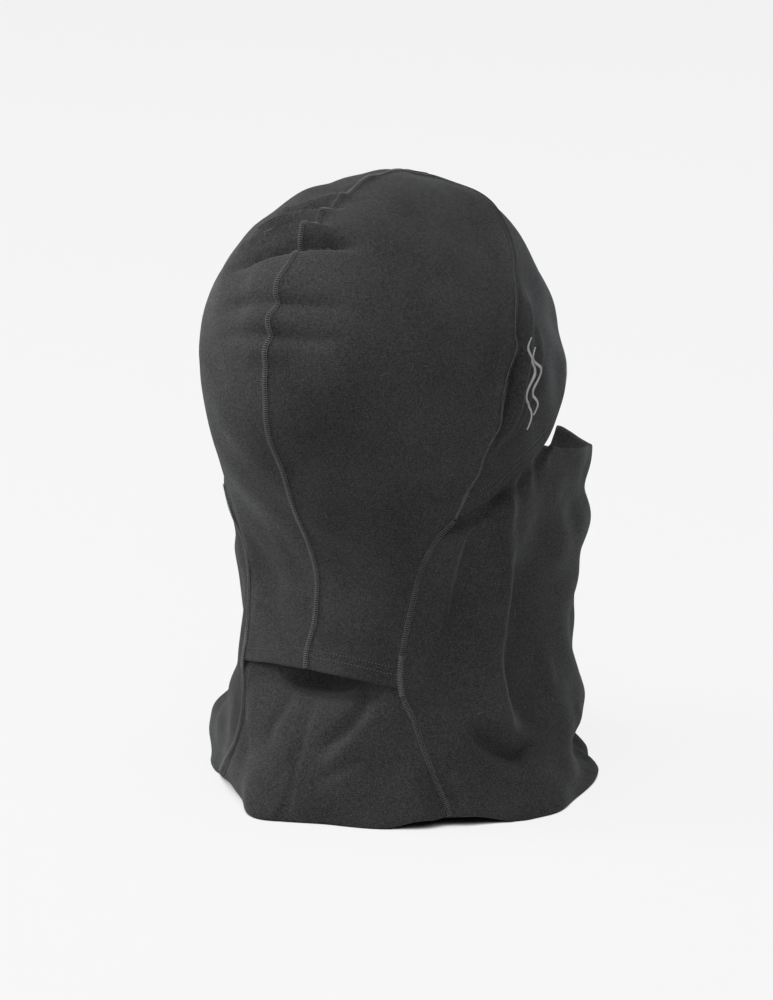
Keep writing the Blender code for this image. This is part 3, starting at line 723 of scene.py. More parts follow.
def rim(loop_out, loop_in):
    """Quads between an edge of the outer face and the same edge of the inner face."""
    return np.stack([loop_out[:-1], loop_in[:-1], loop_in[1:], loop_out[1:]], -1)


ROLL_STEPS = 6  # rows round a folded edge


def roll(edge, way, up):
    """Rows that carry cloth round a folded edge, from the outer face to the inner one."""
    angle = np.linspace(0, math.pi, ROLL_STEPS + 1)[1:, None, None]
    return edge + HEM / 2 * (way * np.sin(angle) - up * (1 - np.cos(angle)))


def panel(name, grid, finish="jersey", low_fold=False, high_fold=False, closed=False, thickness=FABRIC):
    """A panel of cloth with its outer face on the grid; folded edges turn in over their hem."""
    up = closed_normals(grid) if closed else normals(grid)
    inner = grid - thickness * up
    outer = grid
    if low_fold:
        outer = np.concatenate([roll(grid[0], unit(grid[0] - grid[1]), up[0])[::-1], outer])
    if high_fold:
        outer = np.concatenate([outer, roll(grid[-1], unit(grid[-1] - grid[-2]), up[-1])])
    outer[..., 2] = np.maximum(outer[..., 2], 0)
    inner[..., 2] = np.maximum(inner[..., 2], 0)
    rows, columns = outer.shape[:2]
    low = ROLL_STEPS if low_fold else 0
    faces_out = grid_faces(rows, columns, closed=closed)
    start = rows * columns
    faces_in = grid_faces(len(inner), columns, start, closed)[:, ::-1]
    out_index = np.arange(start).reshape(rows, columns)
    in_index = start + np.arange(inner.shape[0] * columns).reshape(-1, columns)
    if closed:
        out_ring = np.concatenate([out_index, out_index[:, :1]], 1)
        in_ring = np.concatenate([in_index, in_index[:, :1]], 1)
        edges = [rim(out_ring[0], in_ring[0]), rim(out_ring[-1], in_ring[-1])[:, ::-1]]
    else:
        edges = [rim(out_index[0], in_index[0]), rim(out_index[-1], in_index[-1])[:, ::-1]]
        top = low + len(inner)
        edges.append(rim(out_index[low:top, 0], in_index[:, 0])[:, ::-1])
        edges.append(rim(out_index[low:top, -1], in_index[:, -1]))
        for column, flip in ((0, True), (-1, False)):
            if low_fold:
                edges.append(fan(out_index[: low + 1, column], in_index[0, column], flip))
            if high_fold:
                edges.append(fan(out_index[top - 1 :, column], in_index[-1, column], flip))
    faces = list(faces_out) + list(faces_in)
    for edge in edges:
        faces += list(edge)
    place = np.stack([distances(outer, 1), distances(outer, 0)], -1)
    place_in = place[low : low + len(inner)]
    points = np.concatenate([outer.reshape(-1, 3), inner.reshape(-1, 3)])
    places = np.concatenate([place.reshape(-1, 2), place_in.reshape(-1, 2)])
    return make(name, points, faces, finish, places)


def fan(loop, centre, flip):
    """Triangles that close the end of a folded edge."""
    made = [(loop[k], centre, loop[k + 1]) for k in range(len(loop) - 1)]
    return [f[::-1] for f in made] if flip else made


def closed_normals(grid):
    wide = np.concatenate([grid[:, -1:], grid, grid[:, :1]], 1)
    return normals(wide)[:, 1:-1]


# ======== materials


class Nodes:
    """Short forms for building a material's node tree."""

    def __init__(self, name):
        self.material = bpy.data.materials.new(name)
        self.material.use_nodes = True
        self.tree = self.material.node_tree
        self.shader = self.tree.nodes["Principled BSDF"]

    def add(self, kind, inputs=(), **settings):
        node = self.tree.nodes.new(kind)
        for key, value in settings.items():
            setattr(node, key, value)
        for key, value in dict(inputs).items():
            if isinstance(value, bpy.types.NodeSocket):
                self.tree.links.new(value, node.inputs[key])
            else:
                node.inputs[key].default_value = value
        return node

    def math(self, operation, a, b=0.0, c=0.0):
        return self.add("ShaderNodeMath", {0: a, 1: b, 2: c}, operation=operation).outputs[0]

    def noise(self, place, scale, detail=3.0, roughness=0.55):
        inputs = {"Vector": place, "Scale": scale, "Detail": detail, "Roughness": roughness}
        return self.add("ShaderNodeTexNoise", inputs).outputs["Fac"]

    def mix(self, amount, a, b):
        node = self.add("ShaderNodeMix", data_type="RGBA")
        for key, value in (("Factor_Float", amount), ("A_Color", a), ("B_Color", b)):
            socket = next(s for s in node.inputs if s.identifier == key)
            if isinstance(value, bpy.types.NodeSocket):
                self.tree.links.new(value, socket)
            else:
                socket.default_value = (*value, 1.0)[:4] if key != "Factor_Float" else value
        return next(s for s in node.outputs if s.identifier == "Result_Color")

    def total(self, *parts):
        """The sum of (value, weight) parts."""
        first, *others = [self.math("MULTIPLY", value, weight) for value, weight in parts]
        for part in others:
            first = self.math("ADD", first, part)
        return first

    def bump(self, height, strength, distance):
        inputs = {"Height": height, "Strength": strength, "Distance": distance}
        return self.add("ShaderNodeBump", inputs).outputs["Normal"]

    def spread(self, value, low, high, to_low=0.0, to_high=1.0):
        """A clamped, straight map from low..high to to_low..to_high."""
        inputs = {"Value": value, "From Min": low, "From Max": high, "To Min": to_low, "To Max": to_high}
        return self.add("ShaderNodeMapRange", inputs).outputs[0]

    def set(self, **inputs):
        """Sets or links the shader's sockets; an underscore stands for a space."""
        for key, value in inputs.items():
            socket = self.shader.inputs[key.replace("_", " ")]
            if isinstance(value, bpy.types.NodeSocket):
                self.tree.links.new(value, socket)
            else:
                socket.default_value = value


WALE = 0.72 * MM  # breadth of a knit column
COURSE = 0.86 * MM  # height of a knit row
LINT_TONE = (0.13, 0.13, 0.135)


def jersey(name, dark, light, sheen):
    """Brushed black jersey: fine knit loops, a soft nap that brightens at grazing angles, lint."""
    n = Nodes(name)
    cloth = n.add("ShaderNodeUVMap", uv_map="weave").outputs["UV"]
    place = n.add("ShaderNodeTexCoord").outputs["Object"]
    split = n.add("ShaderNodeSeparateXYZ", {"Vector": cloth})
    wobble = n.math("MULTIPLY", n.math("SUBTRACT", n.noise(place, 260.0, 2.0), 0.5), 0.9 * MM)
    across = n.math("ADD", split.outputs["X"], wobble)
    along = n.math("ADD", split.outputs["Y"], wobble)
    wale = n.math("FRACT", n.math("DIVIDE", across, WALE))
    leg = n.math("ABSOLUTE", n.math("SUBTRACT", wale, 0.5))
    course = n.math("ADD", n.math("DIVIDE", along, COURSE), leg)
    loop = n.math("MULTIPLY_ADD", n.math("SINE", n.math("MULTIPLY", course, 2 * math.pi)), 0.5, 0.5)
    groove = n.math("SINE", n.math("MULTIPLY", wale, math.pi))
    knit = n.math("MULTIPLY", loop, groove)
    nap = n.noise(place, 2100.0, 3.0, 0.7)
    heather = n.noise(place, 800.0, 4.0, 0.7)
    cloud = n.noise(place, 26.0, 3.0)
    tone = n.total((nap, 0.60), (heather, 0.26), (knit, 0.10), (cloud, 0.14))
    colour = n.mix(n.spread(tone, 0.44, 0.66), dark, light)
    specks = n.spread(n.noise(place, 900.0, 1.0, 0.4), 0.76, 0.80)
    colour = n.mix(n.math("MULTIPLY", specks, 0.40), colour, LINT_TONE)
    height = n.total((knit, 0.25), (nap, 0.8), (heather, 0.7))
    n.set(Base_Color=colour, Roughness=0.93, Normal=n.bump(height, 0.7, 0.30 * MM))
    n.set(Sheen_Weight=n.spread(tone, 0.42, 0.68, 0.3 * sheen, 1.7 * sheen))
    n.set(Sheen_Roughness=0.30, Sheen_Tint=(0.90, 0.97, 1.0, 1.0))
    n.set(Specular_IOR_Level=0.18)
    return n.material


def thread(name, dark, light, sheen=0.10):
    """Twisted polyester thread."""
    n = Nodes(name)
    place = n.add("ShaderNodeTexCoord").outputs["Object"]
    twist = n.noise(place, 2600.0, 2.0)
    cloud = n.noise(place, 180.0, 2.0)
    tone = n.total((twist, 0.6), (cloud, 0.4))
    n.set(Base_Color=n.mix(n.spread(tone, 0.3, 0.7), dark, light), Roughness=0.52)
    n.set(Normal=n.bump(twist, 0.5, 0.06 * MM), Sheen_Weight=sheen, Sheen_Roughness=0.4)
    n.set(Specular_IOR_Level=0.35)
    return n.material


LABEL_WEAVE = (0.30 * MM, 0.34 * MM)  # breadth and height of a thread crossing


def woven_label(name):
    """Pale satin ribbon for the blank label."""
    n = Nodes(name)
    cloth = n.add("ShaderNodeUVMap", uv_map="weave").outputs["UV"]
    split = n.add("ShaderNodeSeparateXYZ", {"Vector": cloth})
    ends = n.math("SINE", n.math("MULTIPLY", split.outputs["X"], 2 * math.pi / LABEL_WEAVE[0]))
    picks = n.math("SINE", n.math("MULTIPLY", split.outputs["Y"], 2 * math.pi / LABEL_WEAVE[1]))
    weave = n.math("MULTIPLY_ADD", n.math("MULTIPLY", ends, picks), 0.5, 0.5)
    place = n.add("ShaderNodeTexCoord").outputs["Object"]
    tone = n.total((weave, 0.5), (n.noise(place, 300.0), 0.5))
    n.set(Base_Color=n.mix(tone, (0.50, 0.50, 0.49), (0.72, 0.72, 0.70)), Roughness=0.6)
    n.set(Normal=n.bump(weave, 0.4, 0.05 * MM), Sheen_Weight=0.1)
    return n.material


FLOOR_GLOW = 0.856


def floor_paper(name):
    """White sweep: mostly its own even emission, dimmed by an ambient occlusion mask into a painted contact
    shadow under and beside the cloth, with a little diffuse left to take soft shadows.
    """
    n = Nodes(name)
    place = n.add("ShaderNodeTexCoord").outputs["Object"]
    grain = n.noise(place, 40.0, 2.0)
    n.set(Base_Color=n.mix(grain, (0.048, 0.048, 0.048), (0.052, 0.052, 0.052)), Roughness=1.0)
    n.set(Specular_IOR_Level=0.0)
    # ambient occlusion dims the floor's emission under and beside the cloth: a painted contact shadow
    near = n.add("ShaderNodeAmbientOcclusion", {"Distance": 0.6}, samples=16).outputs["AO"]
    glow_with_painted_shadow = n.math("MULTIPLY", n.spread(near, 0.20, 0.49), FLOOR_GLOW)
    n.set(Emission_Color=(1.0, 1.0, 1.0, 1.0), Emission_Strength=glow_with_painted_shadow)
    return n.material


CHARCOAL = (0.010, 0.010, 0.0105)
MATERIALS = {
    "jersey": jersey("jersey", CHARCOAL, (0.055, 0.054, 0.055), 0.11),
    "hem_jersey": jersey("hem_jersey", CHARCOAL, (0.053, 0.052, 0.053), 0.11),
    "seam_thread": thread("seam_thread", (0.036, 0.036, 0.039), (0.105, 0.105, 0.110)),
    "hem_thread": thread("hem_thread", (0.040, 0.040, 0.042), (0.10, 0.10, 0.103)),
    "tack_thread": thread("tack_thread", (0.040, 0.040, 0.045), (0.10, 0.10, 0.11)),
    "embroidery": thread("embroidery", (0.24, 0.24, 0.245), (0.46, 0.46, 0.465), 0.05),
    "label": woven_label("label"),
    "lint": thread("lint", (0.07, 0.07, 0.07), (0.17, 0.17, 0.17)),
}


def finish_piece(obj, slot, *nodes, across=None):
    """Puts a piece on the standing body, or, for a piece that lies across a joint, bakes its placement into
    its mesh and leaves it off any body; then hides the CAD parts it stands for.
    """
    if across is None:
        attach(obj, STANDING)
    else:
        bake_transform(obj)
    if nodes:
        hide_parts(*nodes)


# ======== threads


class Track:
    """A line on the cloth with its own frame, read by distance along it."""

    def __init__(self, points, up):
        self.points = points
        self.up = up
        self.along = lengths(points)
        self.length = self.along[-1]
        way = unit(np.gradient(points, axis=0))
        self.side = unit(np.cross(way, up))

    def at(self, along, across=0.0, lift=0.0):
        along, across, lift = np.broadcast_arrays(along, across, lift)
        found = [np.stack([np.interp(along, self.along, rows[:, k]) for k in range(3)], -1)
                 for rows in (self.points, self.side, self.up)]
        return found[0] + found[1] * across[..., None] + found[2] * lift[..., None]

    def above(self, along):
        return np.stack([np.interp(along, self.along, self.up[:, k]) for k in range(3)], -1)


class Threads:
    """Short stitches and longer strands gathered into one mesh."""

    def __init__(self):
        self.points = []
        self.faces = []
        self.count = 0

    def take(self, points, faces):
        self.points.append(points)
        for same_size in faces:
            self.faces += (same_size + self.count).tolist()
        self.count += len(points)

    @staticmethod
    def tube_faces(tubes, rings, sides):
        """Walls and end caps of closed tubes that follow one another."""
        first = np.arange(tubes)[:, None, None] * rings * sides
        walls = grid_faces(rings, sides, closed=True)[None] + first
        low, high = np.arange(sides)[::-1], np.arange((rings - 1) * sides, rings * sides)
        caps = np.stack([low, high])[None] + first
        return walls.reshape(-1, 4), caps.reshape(-1, sides)

    def stitches(self, starts, ends, ups, radius, arch, sink, rings=5, sides=5):
        """Arched stitches that rise out of the cloth and go back into it."""
        s = np.linspace(0, 1, rings)[None, :, None]
        spine = starts[:, None] * (1 - s) + ends[:, None] * s
        spine = spine + ups[:, None] * (arch * 4 * s * (1 - s) - sink * (2 * s - 1) ** 2)
        along = unit(ends - starts)
        side = unit(np.cross(along, ups))
        swell = radius * (0.55 + 0.45 * np.sin(math.pi * s))
        turn = np.arange(sides) * 2 * math.pi / sides
        ring = side[:, None, None] * np.cos(turn)[:, None] + ups[:, None, None] * np.sin(turn)[:, None]
        points = spine[:, :, None] + ring * swell[..., None]
        self.take(points.reshape(-1, 3), self.tube_faces(len(starts), rings, sides))

    def row(self, track, at, span, across, lift, *shape, shift=0.0, inside=False, **more):
        """A stitch from each place along a track, `span` long, from one place across it to another."""
        start = track.at(at + shift, across[0], lift)
        end = track.at(at + shift + span, across[1], lift)
        up = -track.above(at) if inside else track.above(at)
        self.stitches(start, end, up, *(size * MM for size in shape), **more)

    def strand(self, points, radius, sides=5):
        way = unit(np.gradient(points, axis=0))
        helper = np.where(np.abs(way[:, 2:]) > 0.8, (1.0, 0, 0), (0, 0, 1.0))
        side = unit(np.cross(way, helper))
        other = np.cross(side, way)
        turn = np.arange(sides) * 2 * math.pi / sides
        ring = side[:, None] * np.cos(turn)[:, None] + other[:, None] * np.sin(turn)[:, None]
        tube = (points[:, None] + radius * ring).reshape(-1, 3)
        self.take(tube, self.tube_faces(1, len(points), sides))

    def build(self, name, finish, *nodes, across=None):
        """Makes the mesh and puts it on its body."""
        obj = make(name, np.concatenate(self.points), self.faces, finish)
        finish_piece(obj, finish, *nodes, across=across)


def net(threads, track, at, half, depth, pitch, radius):
    """The slanting threads on a seam's inner side."""
    for way, shift in ((-1, 0.0), (1, 0.5 * pitch)):
        threads.row(track, at, 0.5 * pitch, (way * half, -way * half), depth, radius, 0.10, 0.10,
                    shift=shift, inside=True, rings=4, sides=4)


def flatlock(threads, track, width=2.1 * MM, pitch=1.0 * MM, start=0.0, end=None, lift=0.24 * MM):
    """A flatlock seam: a ladder of cover threads over two rows of needle threads, inside and out."""
    end = track.length if end is None else end
    at = np.arange(start, end - pitch, pitch)
    half = width / 2
    threads.row(track, at, 0.18 * pitch, (-half, half), lift, 0.20, 0.22, 0.20)
    for side in (-half, half):
        threads.row(track, at, 0.9 * pitch, (side, side), lift - 0.08 * MM, 0.12, 0.10, 0.14, rings=4)
    net(threads, track, at, 0.8 * half, -(FABRIC + 0.10 * MM), pitch, 0.13)


def coverstitch(threads, track, gauge=3.0 * MM, pitch=1.5 * MM):
    """Two rows of needle stitches outside, and the looper's net of threads inside."""
    at = np.arange(0.0, track.length - pitch, pitch)
    for side in (-gauge / 2, gauge / 2):
        threads.row(track, at, 0.48 * pitch, (side, side), 0.12 * MM, 0.21, 0.14, 0.25)
    net(threads, track, at, gauge / 2, -(HEM + 0.06 * MM), pitch, 0.14)


def bar_tack(node, track, start, end, width=3.2 * MM, pitch=1.15 * MM):
    """Dense zigzag that locks the end of a seam."""
    threads = Threads()
    at = np.arange(start, end, pitch)
    half, lift = width / 2, 0.45 * MM
    threads.row(track, at, 0.5 * pitch, (-half, half), lift, 0.21, 0.24, 0.40)
    threads.row(track, at, 0.5 * pitch, (half, -half), lift, 0.20, 0.20, 0.40, shift=0.5 * pitch)
    threads.build(f"{node}_thread", "tack_thread", node)


# ======== pieces

HEM_ROWS = np.linspace(0, 1, 7)  # places across a hem
MASK_WAY = unit(np.array((0.0, -0.6, 0.8)))
FLAP_WAY = unit(np.array((0.0, 0.9, -0.43)))
# slanting bands for the mask and the flap, clear of the side seams; a piece given one is left off the
# standing body
MASK_BAND = (MASK, MASK_WAY * 0.087, MASK_WAY * 0.122)
FLAP_BAND = (FLAP, FLAP_WAY * 0.0315, FLAP_WAY * 0.0405)


def hood_track(line, reach=1.6 * MM):
    """A seam on the hood's cloth."""
    up = hood_normal(line)
    side = unit(np.cross(unit(np.gradient(line, axis=0)), up))
    centre = on_hood_cloth(line)
    left, right = (on_hood_cloth(on_hood(line + sign * reach * side)) for sign in (-1, 1))
    across = unit(right - left)
    way = unit(np.gradient(centre, axis=0))
    return Track(centre, unit(np.cross(across, way)))


def side_track(side):
    line = spaced(SEAM_LINES[side], 300)
    line = line[line[:, 2] <= 0.1385]
    turn, _ = seam_polar(side, line[:, 2])
    swing = 0.03
    ahead, behind = gaiter_at(turn + swing, line[:, 2]), gaiter_at(turn - swing, line[:, 2])
    up = unit(np.cross(behind - ahead, np.gradient(line, axis=0)))
    up = up * np.sign(np.sum(up * line * (1, 1, 0), -1, keepdims=True))
    upper = ease(0.050, 0.075, line[:, 2])[:, None] * 0.5
    up = unit(up * (1 - upper) + hood_normal(line) * upper)
    return Track(line + up * 0.40 * MM, up)


def nape_edge(amount, share):
    """The nape's edge, or a line further up, from the left seam to the right one."""
    reach = NAPE_EDGE[-1][0]
    turn = (2 * np.asarray(share) - 1) * reach
    return hood_at(turn, through(NAPE_EDGE, np.abs(turn))[..., 0] + amount)


def crown_panel(side):
    sign = np.array((SIDES[side], 1, 1))
    seam = SEAM_LINES["right"]
    low = HEM / 2
    turn = np.linspace(0, NAPE_EDGE[-1][0], 40) * SIDES[side]
    bottom = hood_at(turn, through(NAPE_EDGE, np.abs(turn))[..., 0] + low)
    edge = seam[seam[:, 2] > bottom[-1, 2]][::-1] * sign
    bottom[-1] = edge[0]
    whole = brow_line()
    top = whole[200:] if side == "left" else whole[200::-1]
    edge = np.concatenate([edge[edge[:, 2] < top[-1, 2] - 0.001], top[-1:]])
    back = back_line()
    back = np.concatenate([bottom[:1], back[back[:, 2] > bottom[0, 2] + 0.001]])
    back[-1] = top[0]
    s = graded(0.11, fine_low=True, fine_high=True)
    t = graded(0.30, fine_low=False, fine_high=True)
    grid = patch(back, edge, bottom, top, s, t)
    if side == "left":
        grid = grid[:, ::-1]
    grid = on_hood_cloth(grid)
    obj = panel(f"crown_cloth_{side}", grid, low_fold=True)
    finish_piece(obj, "jersey", f"crown_panel_{side}", across=FLAP_BAND)


def brow_grid(low, s, t, high=None):
    """The brow from `low` above its edge up to its seam, or up to `high` above its edge."""
    seam = brow_line()
    turn = np.radians(np.linspace(BROW_EDGE[0][0], 360 - BROW_EDGE[0][0], 401))
    edge = hood_at(np.degrees(turn), brow_edge(turn) + low)
    top = seam if high is None else hood_at(np.degrees(turn), brow_edge(turn) + high)
    trim = 3  # places left out at each end, where the junctions are
    edge, top = at_shares(edge[trim:-trim], s), at_shares(top[trim:-trim], s)
    t = np.asarray(t)[:, None, None]
    return on_hood(edge[None] * (1 - t) + top[None] * t)


def turned_hem(node, grid, closed=False, across=None):
    """The turned-in layer of a hem, lying on the panel's inner face."""
    up = closed_normals(grid) if closed else normals(grid)
    gap = 0.03 * MM
    strip = grid - up * (FABRIC + gap)
    obj = panel(f"{node}_turned_in", strip, "hem_jersey", closed=closed, thickness=HEM - FABRIC - gap)
    finish_piece(obj, "hem_jersey", node, across=across)


def brow_pieces():
    s = graded(0.36, fine_low=False, fine_high=False)
    t = graded(0.085, fine_low=False, fine_high=True)
    grid = on_hood_cloth(brow_grid(HEM / 2, s, t))
    obj = panel("brow_cloth", grid, low_fold=True)
    finish_piece(obj, "jersey", "brow_panel")
    strip = on_hood_cloth(brow_grid(HEM / 2, s, HEM_ROWS, high=BAND))
    turned_hem("brow_hem", strip)
    row = brow_grid(0.0070, np.linspace(0, 1, 500), (0.0, 1.0), high=0.0080)[0]
    threads = Threads()
    coverstitch(threads, hood_track(row[3:-3]))
    threads.build("brow_hem_thread", "hem_thread", "brow_hem_stitching")


def nape_pieces():
    share = np.linspace(0.02, 0.98, 80)  # from the left seam to the right one
    rows = np.stack([nape_edge(a, share) for a in np.linspace(HEM / 2, BAND, 7)])
    rows = on_hood_cloth(rows)
    turned_hem("nape_hem", rows, across=FLAP_BAND)
    row = nape_edge(0.0075, np.linspace(0.03, 0.97, 240))
    threads = Threads()
    coverstitch(threads, hood_track(row))
    threads.build("nape_hem_thread", "hem_thread", "nape_hem_stitching", across=FLAP_BAND)


JUNCTION = 0.139  # height at which the front's sides end, under the brow


def front_places(low, high, s, t):
    """Turns and heights of the gaiter's front between two edges, each a function of the turn."""
    s, t = s[None], t[:, None]
    side = math.radians(MASK_EDGE[0][0])
    z_side = np.clip(low(side) * (1 - t) + high(side) * t, 0, JUNCTION)
    right = seam_polar("right", z_side)[0]
    left = seam_polar("left", z_side)[0] % (2 * math.pi)
    turn = right * (1 - s) + left * s
    return turn, low(turn) * (1 - t) + high(turn) * t


def bottom_edge(turn):
    """Height of the bottom fold's middle; it arches off the table a little on the right."""
    degrees = np.degrees(turn) % 360
    arch = 3.8 * MM * ease(28, 40, degrees) * (1 - ease(53, 68, degrees))
    return HEM / 2 + arch + 0.9 * MM * np.exp(-(((degrees - 205) / 30) ** 2))


def gaiter_front():
    s = graded(0.46)
    t = graded(0.16, fine_low=False, fine_high=False)

    def top(turn):
        return mask_edge(turn) - HEM / 2

    turn, z = front_places(bottom_edge, top, s, t)
    grid = on_gaiter_cloth(turn, z)
    obj = panel("gaiter_front_cloth", grid, low_fold=True, high_fold=True)
    finish_piece(obj, "jersey", "gaiter_front_panel", across=MASK_BAND)
    s = graded(0.40, fine_low=False, fine_high=False)
    turn, z = front_places(lambda a: mask_edge(a) - BAND, top, s, HEM_ROWS)
    turned_hem("mask_hem", on_gaiter_cloth(turn, z)[:, 2:-2], across=MASK_BAND)


def gaiter_back():
    s = graded(0.13)[None]
    t = graded(0.085, fine_low=False, fine_high=False)[:, None]
    z_side = HEM / 2 + (TUCKED_EDGE[-1][1] - HEM / 2) * t
    a, b = seam_polar("right", z_side)[0], seam_polar("left", z_side)[0]
    turn = b * (1 - s) + a * s
    top = through(TUCKED_EDGE, np.abs(np.degrees(turn)))[..., 0]
    z = bottom_edge(turn) * (1 - t) + top * t
    grid = on_gaiter_cloth(turn, z, tucked=True)
    for _ in range(2):  # each pass meets one side's seam, then turns the grid round
        side = "left" if grid[0, 0, 0] > 0 else "right"
        rows = grid[:, 0, 2]
        seam_turn, r = seam_polar(side, rows)
        r = r - 1.5 * FABRIC * ease(0.056, 0.061, rows)
        centre = level_centre(GAITER_LEVELS, rows)
        target = np.stack([-r * np.sin(seam_turn), centre + r * np.cos(seam_turn), rows], -1)
        grid = meet(grid, target, 0.014)[:, ::-1]
    obj = panel("gaiter_back_cloth", grid, low_fold=True)
    finish_piece(obj, "jersey", "gaiter_back_panel")
    turned_hem("gaiter_back_top_hem", grid[-5:])


def bottom_hem():
    turn = np.linspace(0, 2 * math.pi, 330)[:-1]
    low = bottom_edge(turn)
    t = HEM_ROWS[:, None]
    grid = on_gaiter_cloth(turn[None], low[None] * (1 - t) + (BAND + 0 * low)[None] * t)
    turned_hem("bottom_hem", grid, closed=True)


BROW_TACK = (0.4 * MM, 13.5 * MM)  # start and end, from a junction
NAPE_TACK = (0.0765, 0.0590)  # top and bottom height


def seam_pieces():
    back = hood_track(back_line())
    start = np.interp(nape_edge(0.0, 0.5)[2] + 0.001, back.points[:60, 2], back.along[:60])
    threads = Threads()
    flatlock(threads, back, start=start, end=back.length - 0.001)
    threads.build("centre_back_thread", "seam_thread", "centre_back_seam", across=FLAP_BAND)

    brow = hood_track(brow_line())
    threads = Threads()
    flatlock(threads, brow, start=0.002, end=brow.length - 0.002)
    threads.build("brow_seam_thread", "seam_thread", "brow_seam")

    tacks = {"right": BROW_TACK, "left": [brow.length - at for at in BROW_TACK[::-1]]}
    for side in SIDES:
        track = side_track(side)
        threads = Threads()
        flatlock(threads, track, start=0.0, end=track.length - 0.0045)
        threads.build(f"side_seam_thread_{side}", "seam_thread", f"side_seam_{side}")
        height = track.points[::-1, 2]
        near = [np.interp(z, height, track.along[::-1]) for z in NAPE_TACK]
        bar_tack(f"nape_bar_tack_{side}", track, *near)
        bar_tack(f"brow_bar_tack_{side}", brow, *tacks[side], width=2.6 * MM)


MARK_SPOT = (89, 0.195)
MARK_SIZE = (0.0105, 0.040)


def temple_mark():
    """A plain mark on the right temple: two satin-stitched waves side by side."""
    t = np.linspace(0, 1, 160)
    threads = Threads()
    for shift, share in ((-0.0024, 1.0), (0.0026, 0.74)):
        swing = 0.30 * MARK_SIZE[0] * np.sin(2 * 2 * math.pi * t) + shift
        lean = math.degrees(1 / HOOD_LEVELS[-1][1])
        z = MARK_SPOT[1] + (t - 0.5) * MARK_SIZE[1] * share
        turn = MARK_SPOT[0] + lean * (swing + 0.16 * (z - MARK_SPOT[1]))
        track = hood_track(on_hood(hood_at(turn, z)), 1.0 * MM)
        at = np.arange(0, track.length, 0.26 * MM)
        half = 0.85 * MM * np.sqrt(np.sin(math.pi * np.clip(at / track.length, 0.03, 0.97)))
        threads.row(track, at, 0.2 * MM, (-half, half), 0.16 * MM, 0.17, 0.22, 0.22)
    threads.build("temple_embroidery", "embroidery", "temple_mark")


LABEL_SPOT = (250, 0.040)
LABEL_SIZE = (0.030, 0.020)


def care_label():
    """A blank label sewn inside, a little proud of the cloth at its free edge."""
    s = np.linspace(-0.5, 0.5, 31)[None] * math.degrees(LABEL_SIZE[0] / 0.085)
    t = np.linspace(-0.5, 0.5, 21)[:, None]
    z = LABEL_SPOT[1] + t * LABEL_SIZE[1] + 0 * s
    outer = on_gaiter_cloth(np.radians(LABEL_SPOT[0] + s), z)
    up = normals(outer)
    depth = FABRIC + 0.5 * MM + 1.2 * MM * ease(0.5, -0.5, t) ** 2 + 0.0002 * np.sin(s * 0.6)
    grid = outer - up * depth[..., None]
    obj = panel("blank_care_label", grid, "label", thickness=0.35 * MM)
    finish_piece(obj, "label", "care_label")
    row = Track(grid[-2], up[-2])
    threads = Threads()
    at = np.arange(0.001, row.length - 0.002, 2.2 * MM)
    threads.row(row, at, 1.6 * MM, (0, 0), -0.45 * MM, 0.14, 0.08, 0.1, inside=True)
    threads.build("care_label_stitching", "hem_thread")


def fibre(threads, start, up, span, draw, curl, radius=0.055 * MM):
    """A stray fibre lying on the cloth in a loose curl."""
    side = unit(np.cross(up, draw.normal(size=3)))
    other = np.cross(up, side)
    steps = max(8, int(span / (0.35 * MM)))
    angle = np.cumsum(draw.normal(0, curl, steps)) * 0.6
    move = (side * np.cos(angle)[:, None] + other * np.sin(angle)[:, None]) * span / steps
    rise = 0.12 * MM + 0.25 * MM * np.sin(np.linspace(0, math.pi, steps)) * draw.uniform(0.2, 1.0)
    points = start + np.cumsum(move, axis=0) + up * rise[:, None]
    threads.strand(points, radius, 4)


def hood_spot(turn, z):
    """A spot on the hood's cloth, and the way out from it."""
    point = hood_at(turn, z)[None]
    return on_hood_cloth(point)[0], hood_normal(point)[0]


def gaiter_spot(turn, z):
    where = np.radians([turn]), np.array([z])
    return on_gaiter_cloth(*where)[0], gaiter_normal(gaiter_at(*where))[0]


# turn, height and span of the longer fibres, in degrees and millimetres
HOOD_FIBRES = ((12, 141, 4.5), (-25, 143, 4.0), (-30, 190, 3.5), (-17, 176, 3.5), (40, 214, 3.0))
GAITER_FIBRES = ((-24, 22, 9.0), (92, 86, 12.0), (86, 96, 7.0), (60, 48, 3.5))


def lint_piece(name, spot, fibres, curl, flecks, low, high, longest, draw, across=None):
    """Stray fibres and flecks of lint on the cloth."""
    threads = Threads()
    for turn, z, span in fibres:
        fibre(threads, *spot(turn, z * MM), span * MM, draw, curl)
    for _ in range(flecks):
        found = spot(draw.uniform(-180, 180), draw.uniform(low, high))
        fibre(threads, *found, draw.uniform(0.6, longest) * MM, draw, 0.5, 0.045 * MM)
    threads.build(name, "lint", across=across)


def lint_pieces():
    draw = np.random.default_rng(5)
    lint_piece("hood_lint", hood_spot, HOOD_FIBRES, 0.7, 60, 0.195, 0.268, 2.2, draw)
    lint_piece("gaiter_lint", gaiter_spot, GAITER_FIBRES, 0.35, 40, 0.012, 0.050, 2.0, draw, MASK_BAND)


# ======== build

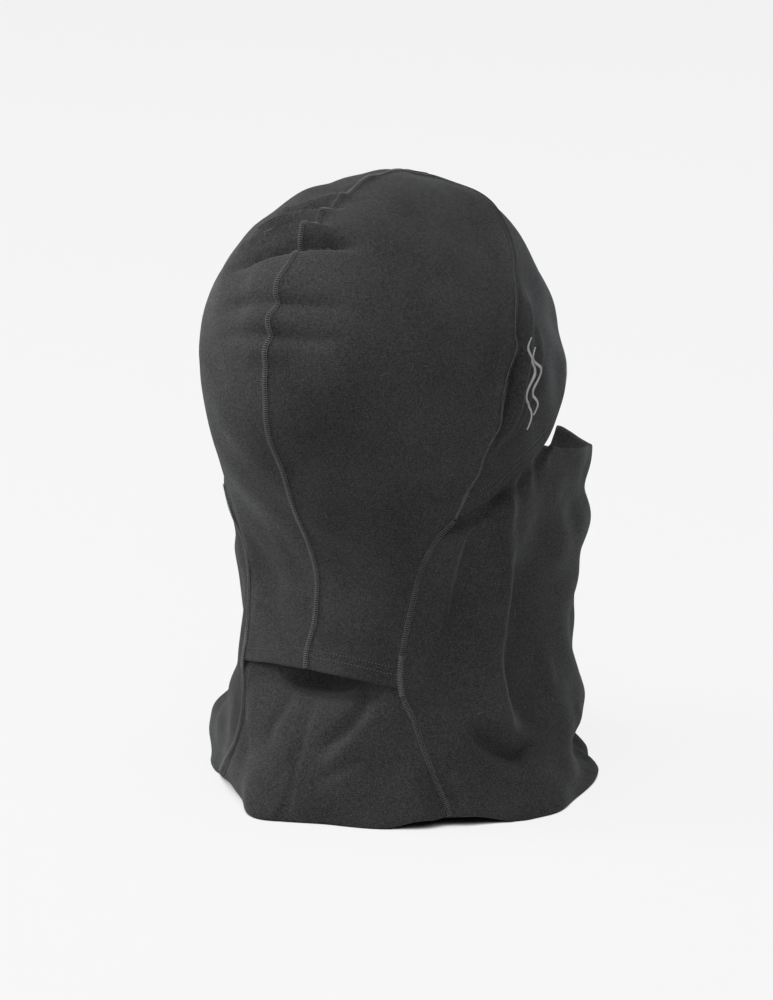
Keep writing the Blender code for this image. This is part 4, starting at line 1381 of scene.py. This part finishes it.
for side in SIDES:
    crown_panel(side)
brow_pieces()
nape_pieces()
gaiter_front()
gaiter_back()
bottom_hem()
seam_pieces()
temple_mark()
care_label()
lint_pieces()


# ======== floor, light and camera

REACH = 8  # metres from the middle of the floor to its sides
CORNERS = ((-1, -1), (1, -1), (1, 1), (-1, 1))
FLOOR_LEVEL = -0.0002
floor_mesh = bpy.data.meshes.new("floor")
floor_mesh.from_pydata([(REACH * x, REACH * y, FLOOR_LEVEL) for x, y in CORNERS], [], [(0, 1, 2, 3)])
floor_mesh.materials.append(floor_paper("floor"))
floor = bpy.data.objects.new("floor", floor_mesh)
bpy.context.collection.objects.link(floor)

world = bpy.data.worlds.new("studio")
bpy.context.scene.world = world
world.use_nodes = True
sky = world.node_tree.nodes["Background"]
sky.inputs["Color"].default_value = (1.0, 1.0, 1.0, 1.0)
sky.inputs["Strength"].default_value = 0.125

TARGET = Vector((0.0, 0.009, 0.130))


def standing_off(azimuth, elevation, distance):
    """The place at a distance from the target, at angles round from the wearer's front."""
    az, el = math.radians(azimuth), math.radians(elevation)
    way = (math.sin(az) * math.cos(el), -math.cos(az) * math.cos(el), math.sin(el))
    return TARGET + distance * Vector(way)


def aim(obj):
    obj.rotation_euler = (TARGET - obj.location).to_track_quat("-Z", "Y").to_euler()
    bpy.context.collection.objects.link(obj)


def light(name, azimuth, elevation, distance, size, watts):
    lamp = bpy.data.lights.new(name, "AREA")
    lamp.size = size
    lamp.energy = watts
    obj = bpy.data.objects.new(name, lamp)
    obj.location = standing_off(azimuth, elevation, distance)
    aim(obj)


light("left", 116, 24, 2.5, 1.4, 73)
light("above", 190, 78, 2.4, 1.6, 56)
light("front", 214, 24, 3.2, 2.0, 28)

camera = bpy.data.objects.new("camera", bpy.data.cameras.new("camera"))
camera.location = standing_off(212, 15, 2.2)
camera.data.sensor_width = 36
camera.data.lens = 174.45
camera.data.clip_end = 50
aim(camera)
bpy.context.scene.camera = camera
bpy.context.scene.view_settings.view_transform = "Standard"
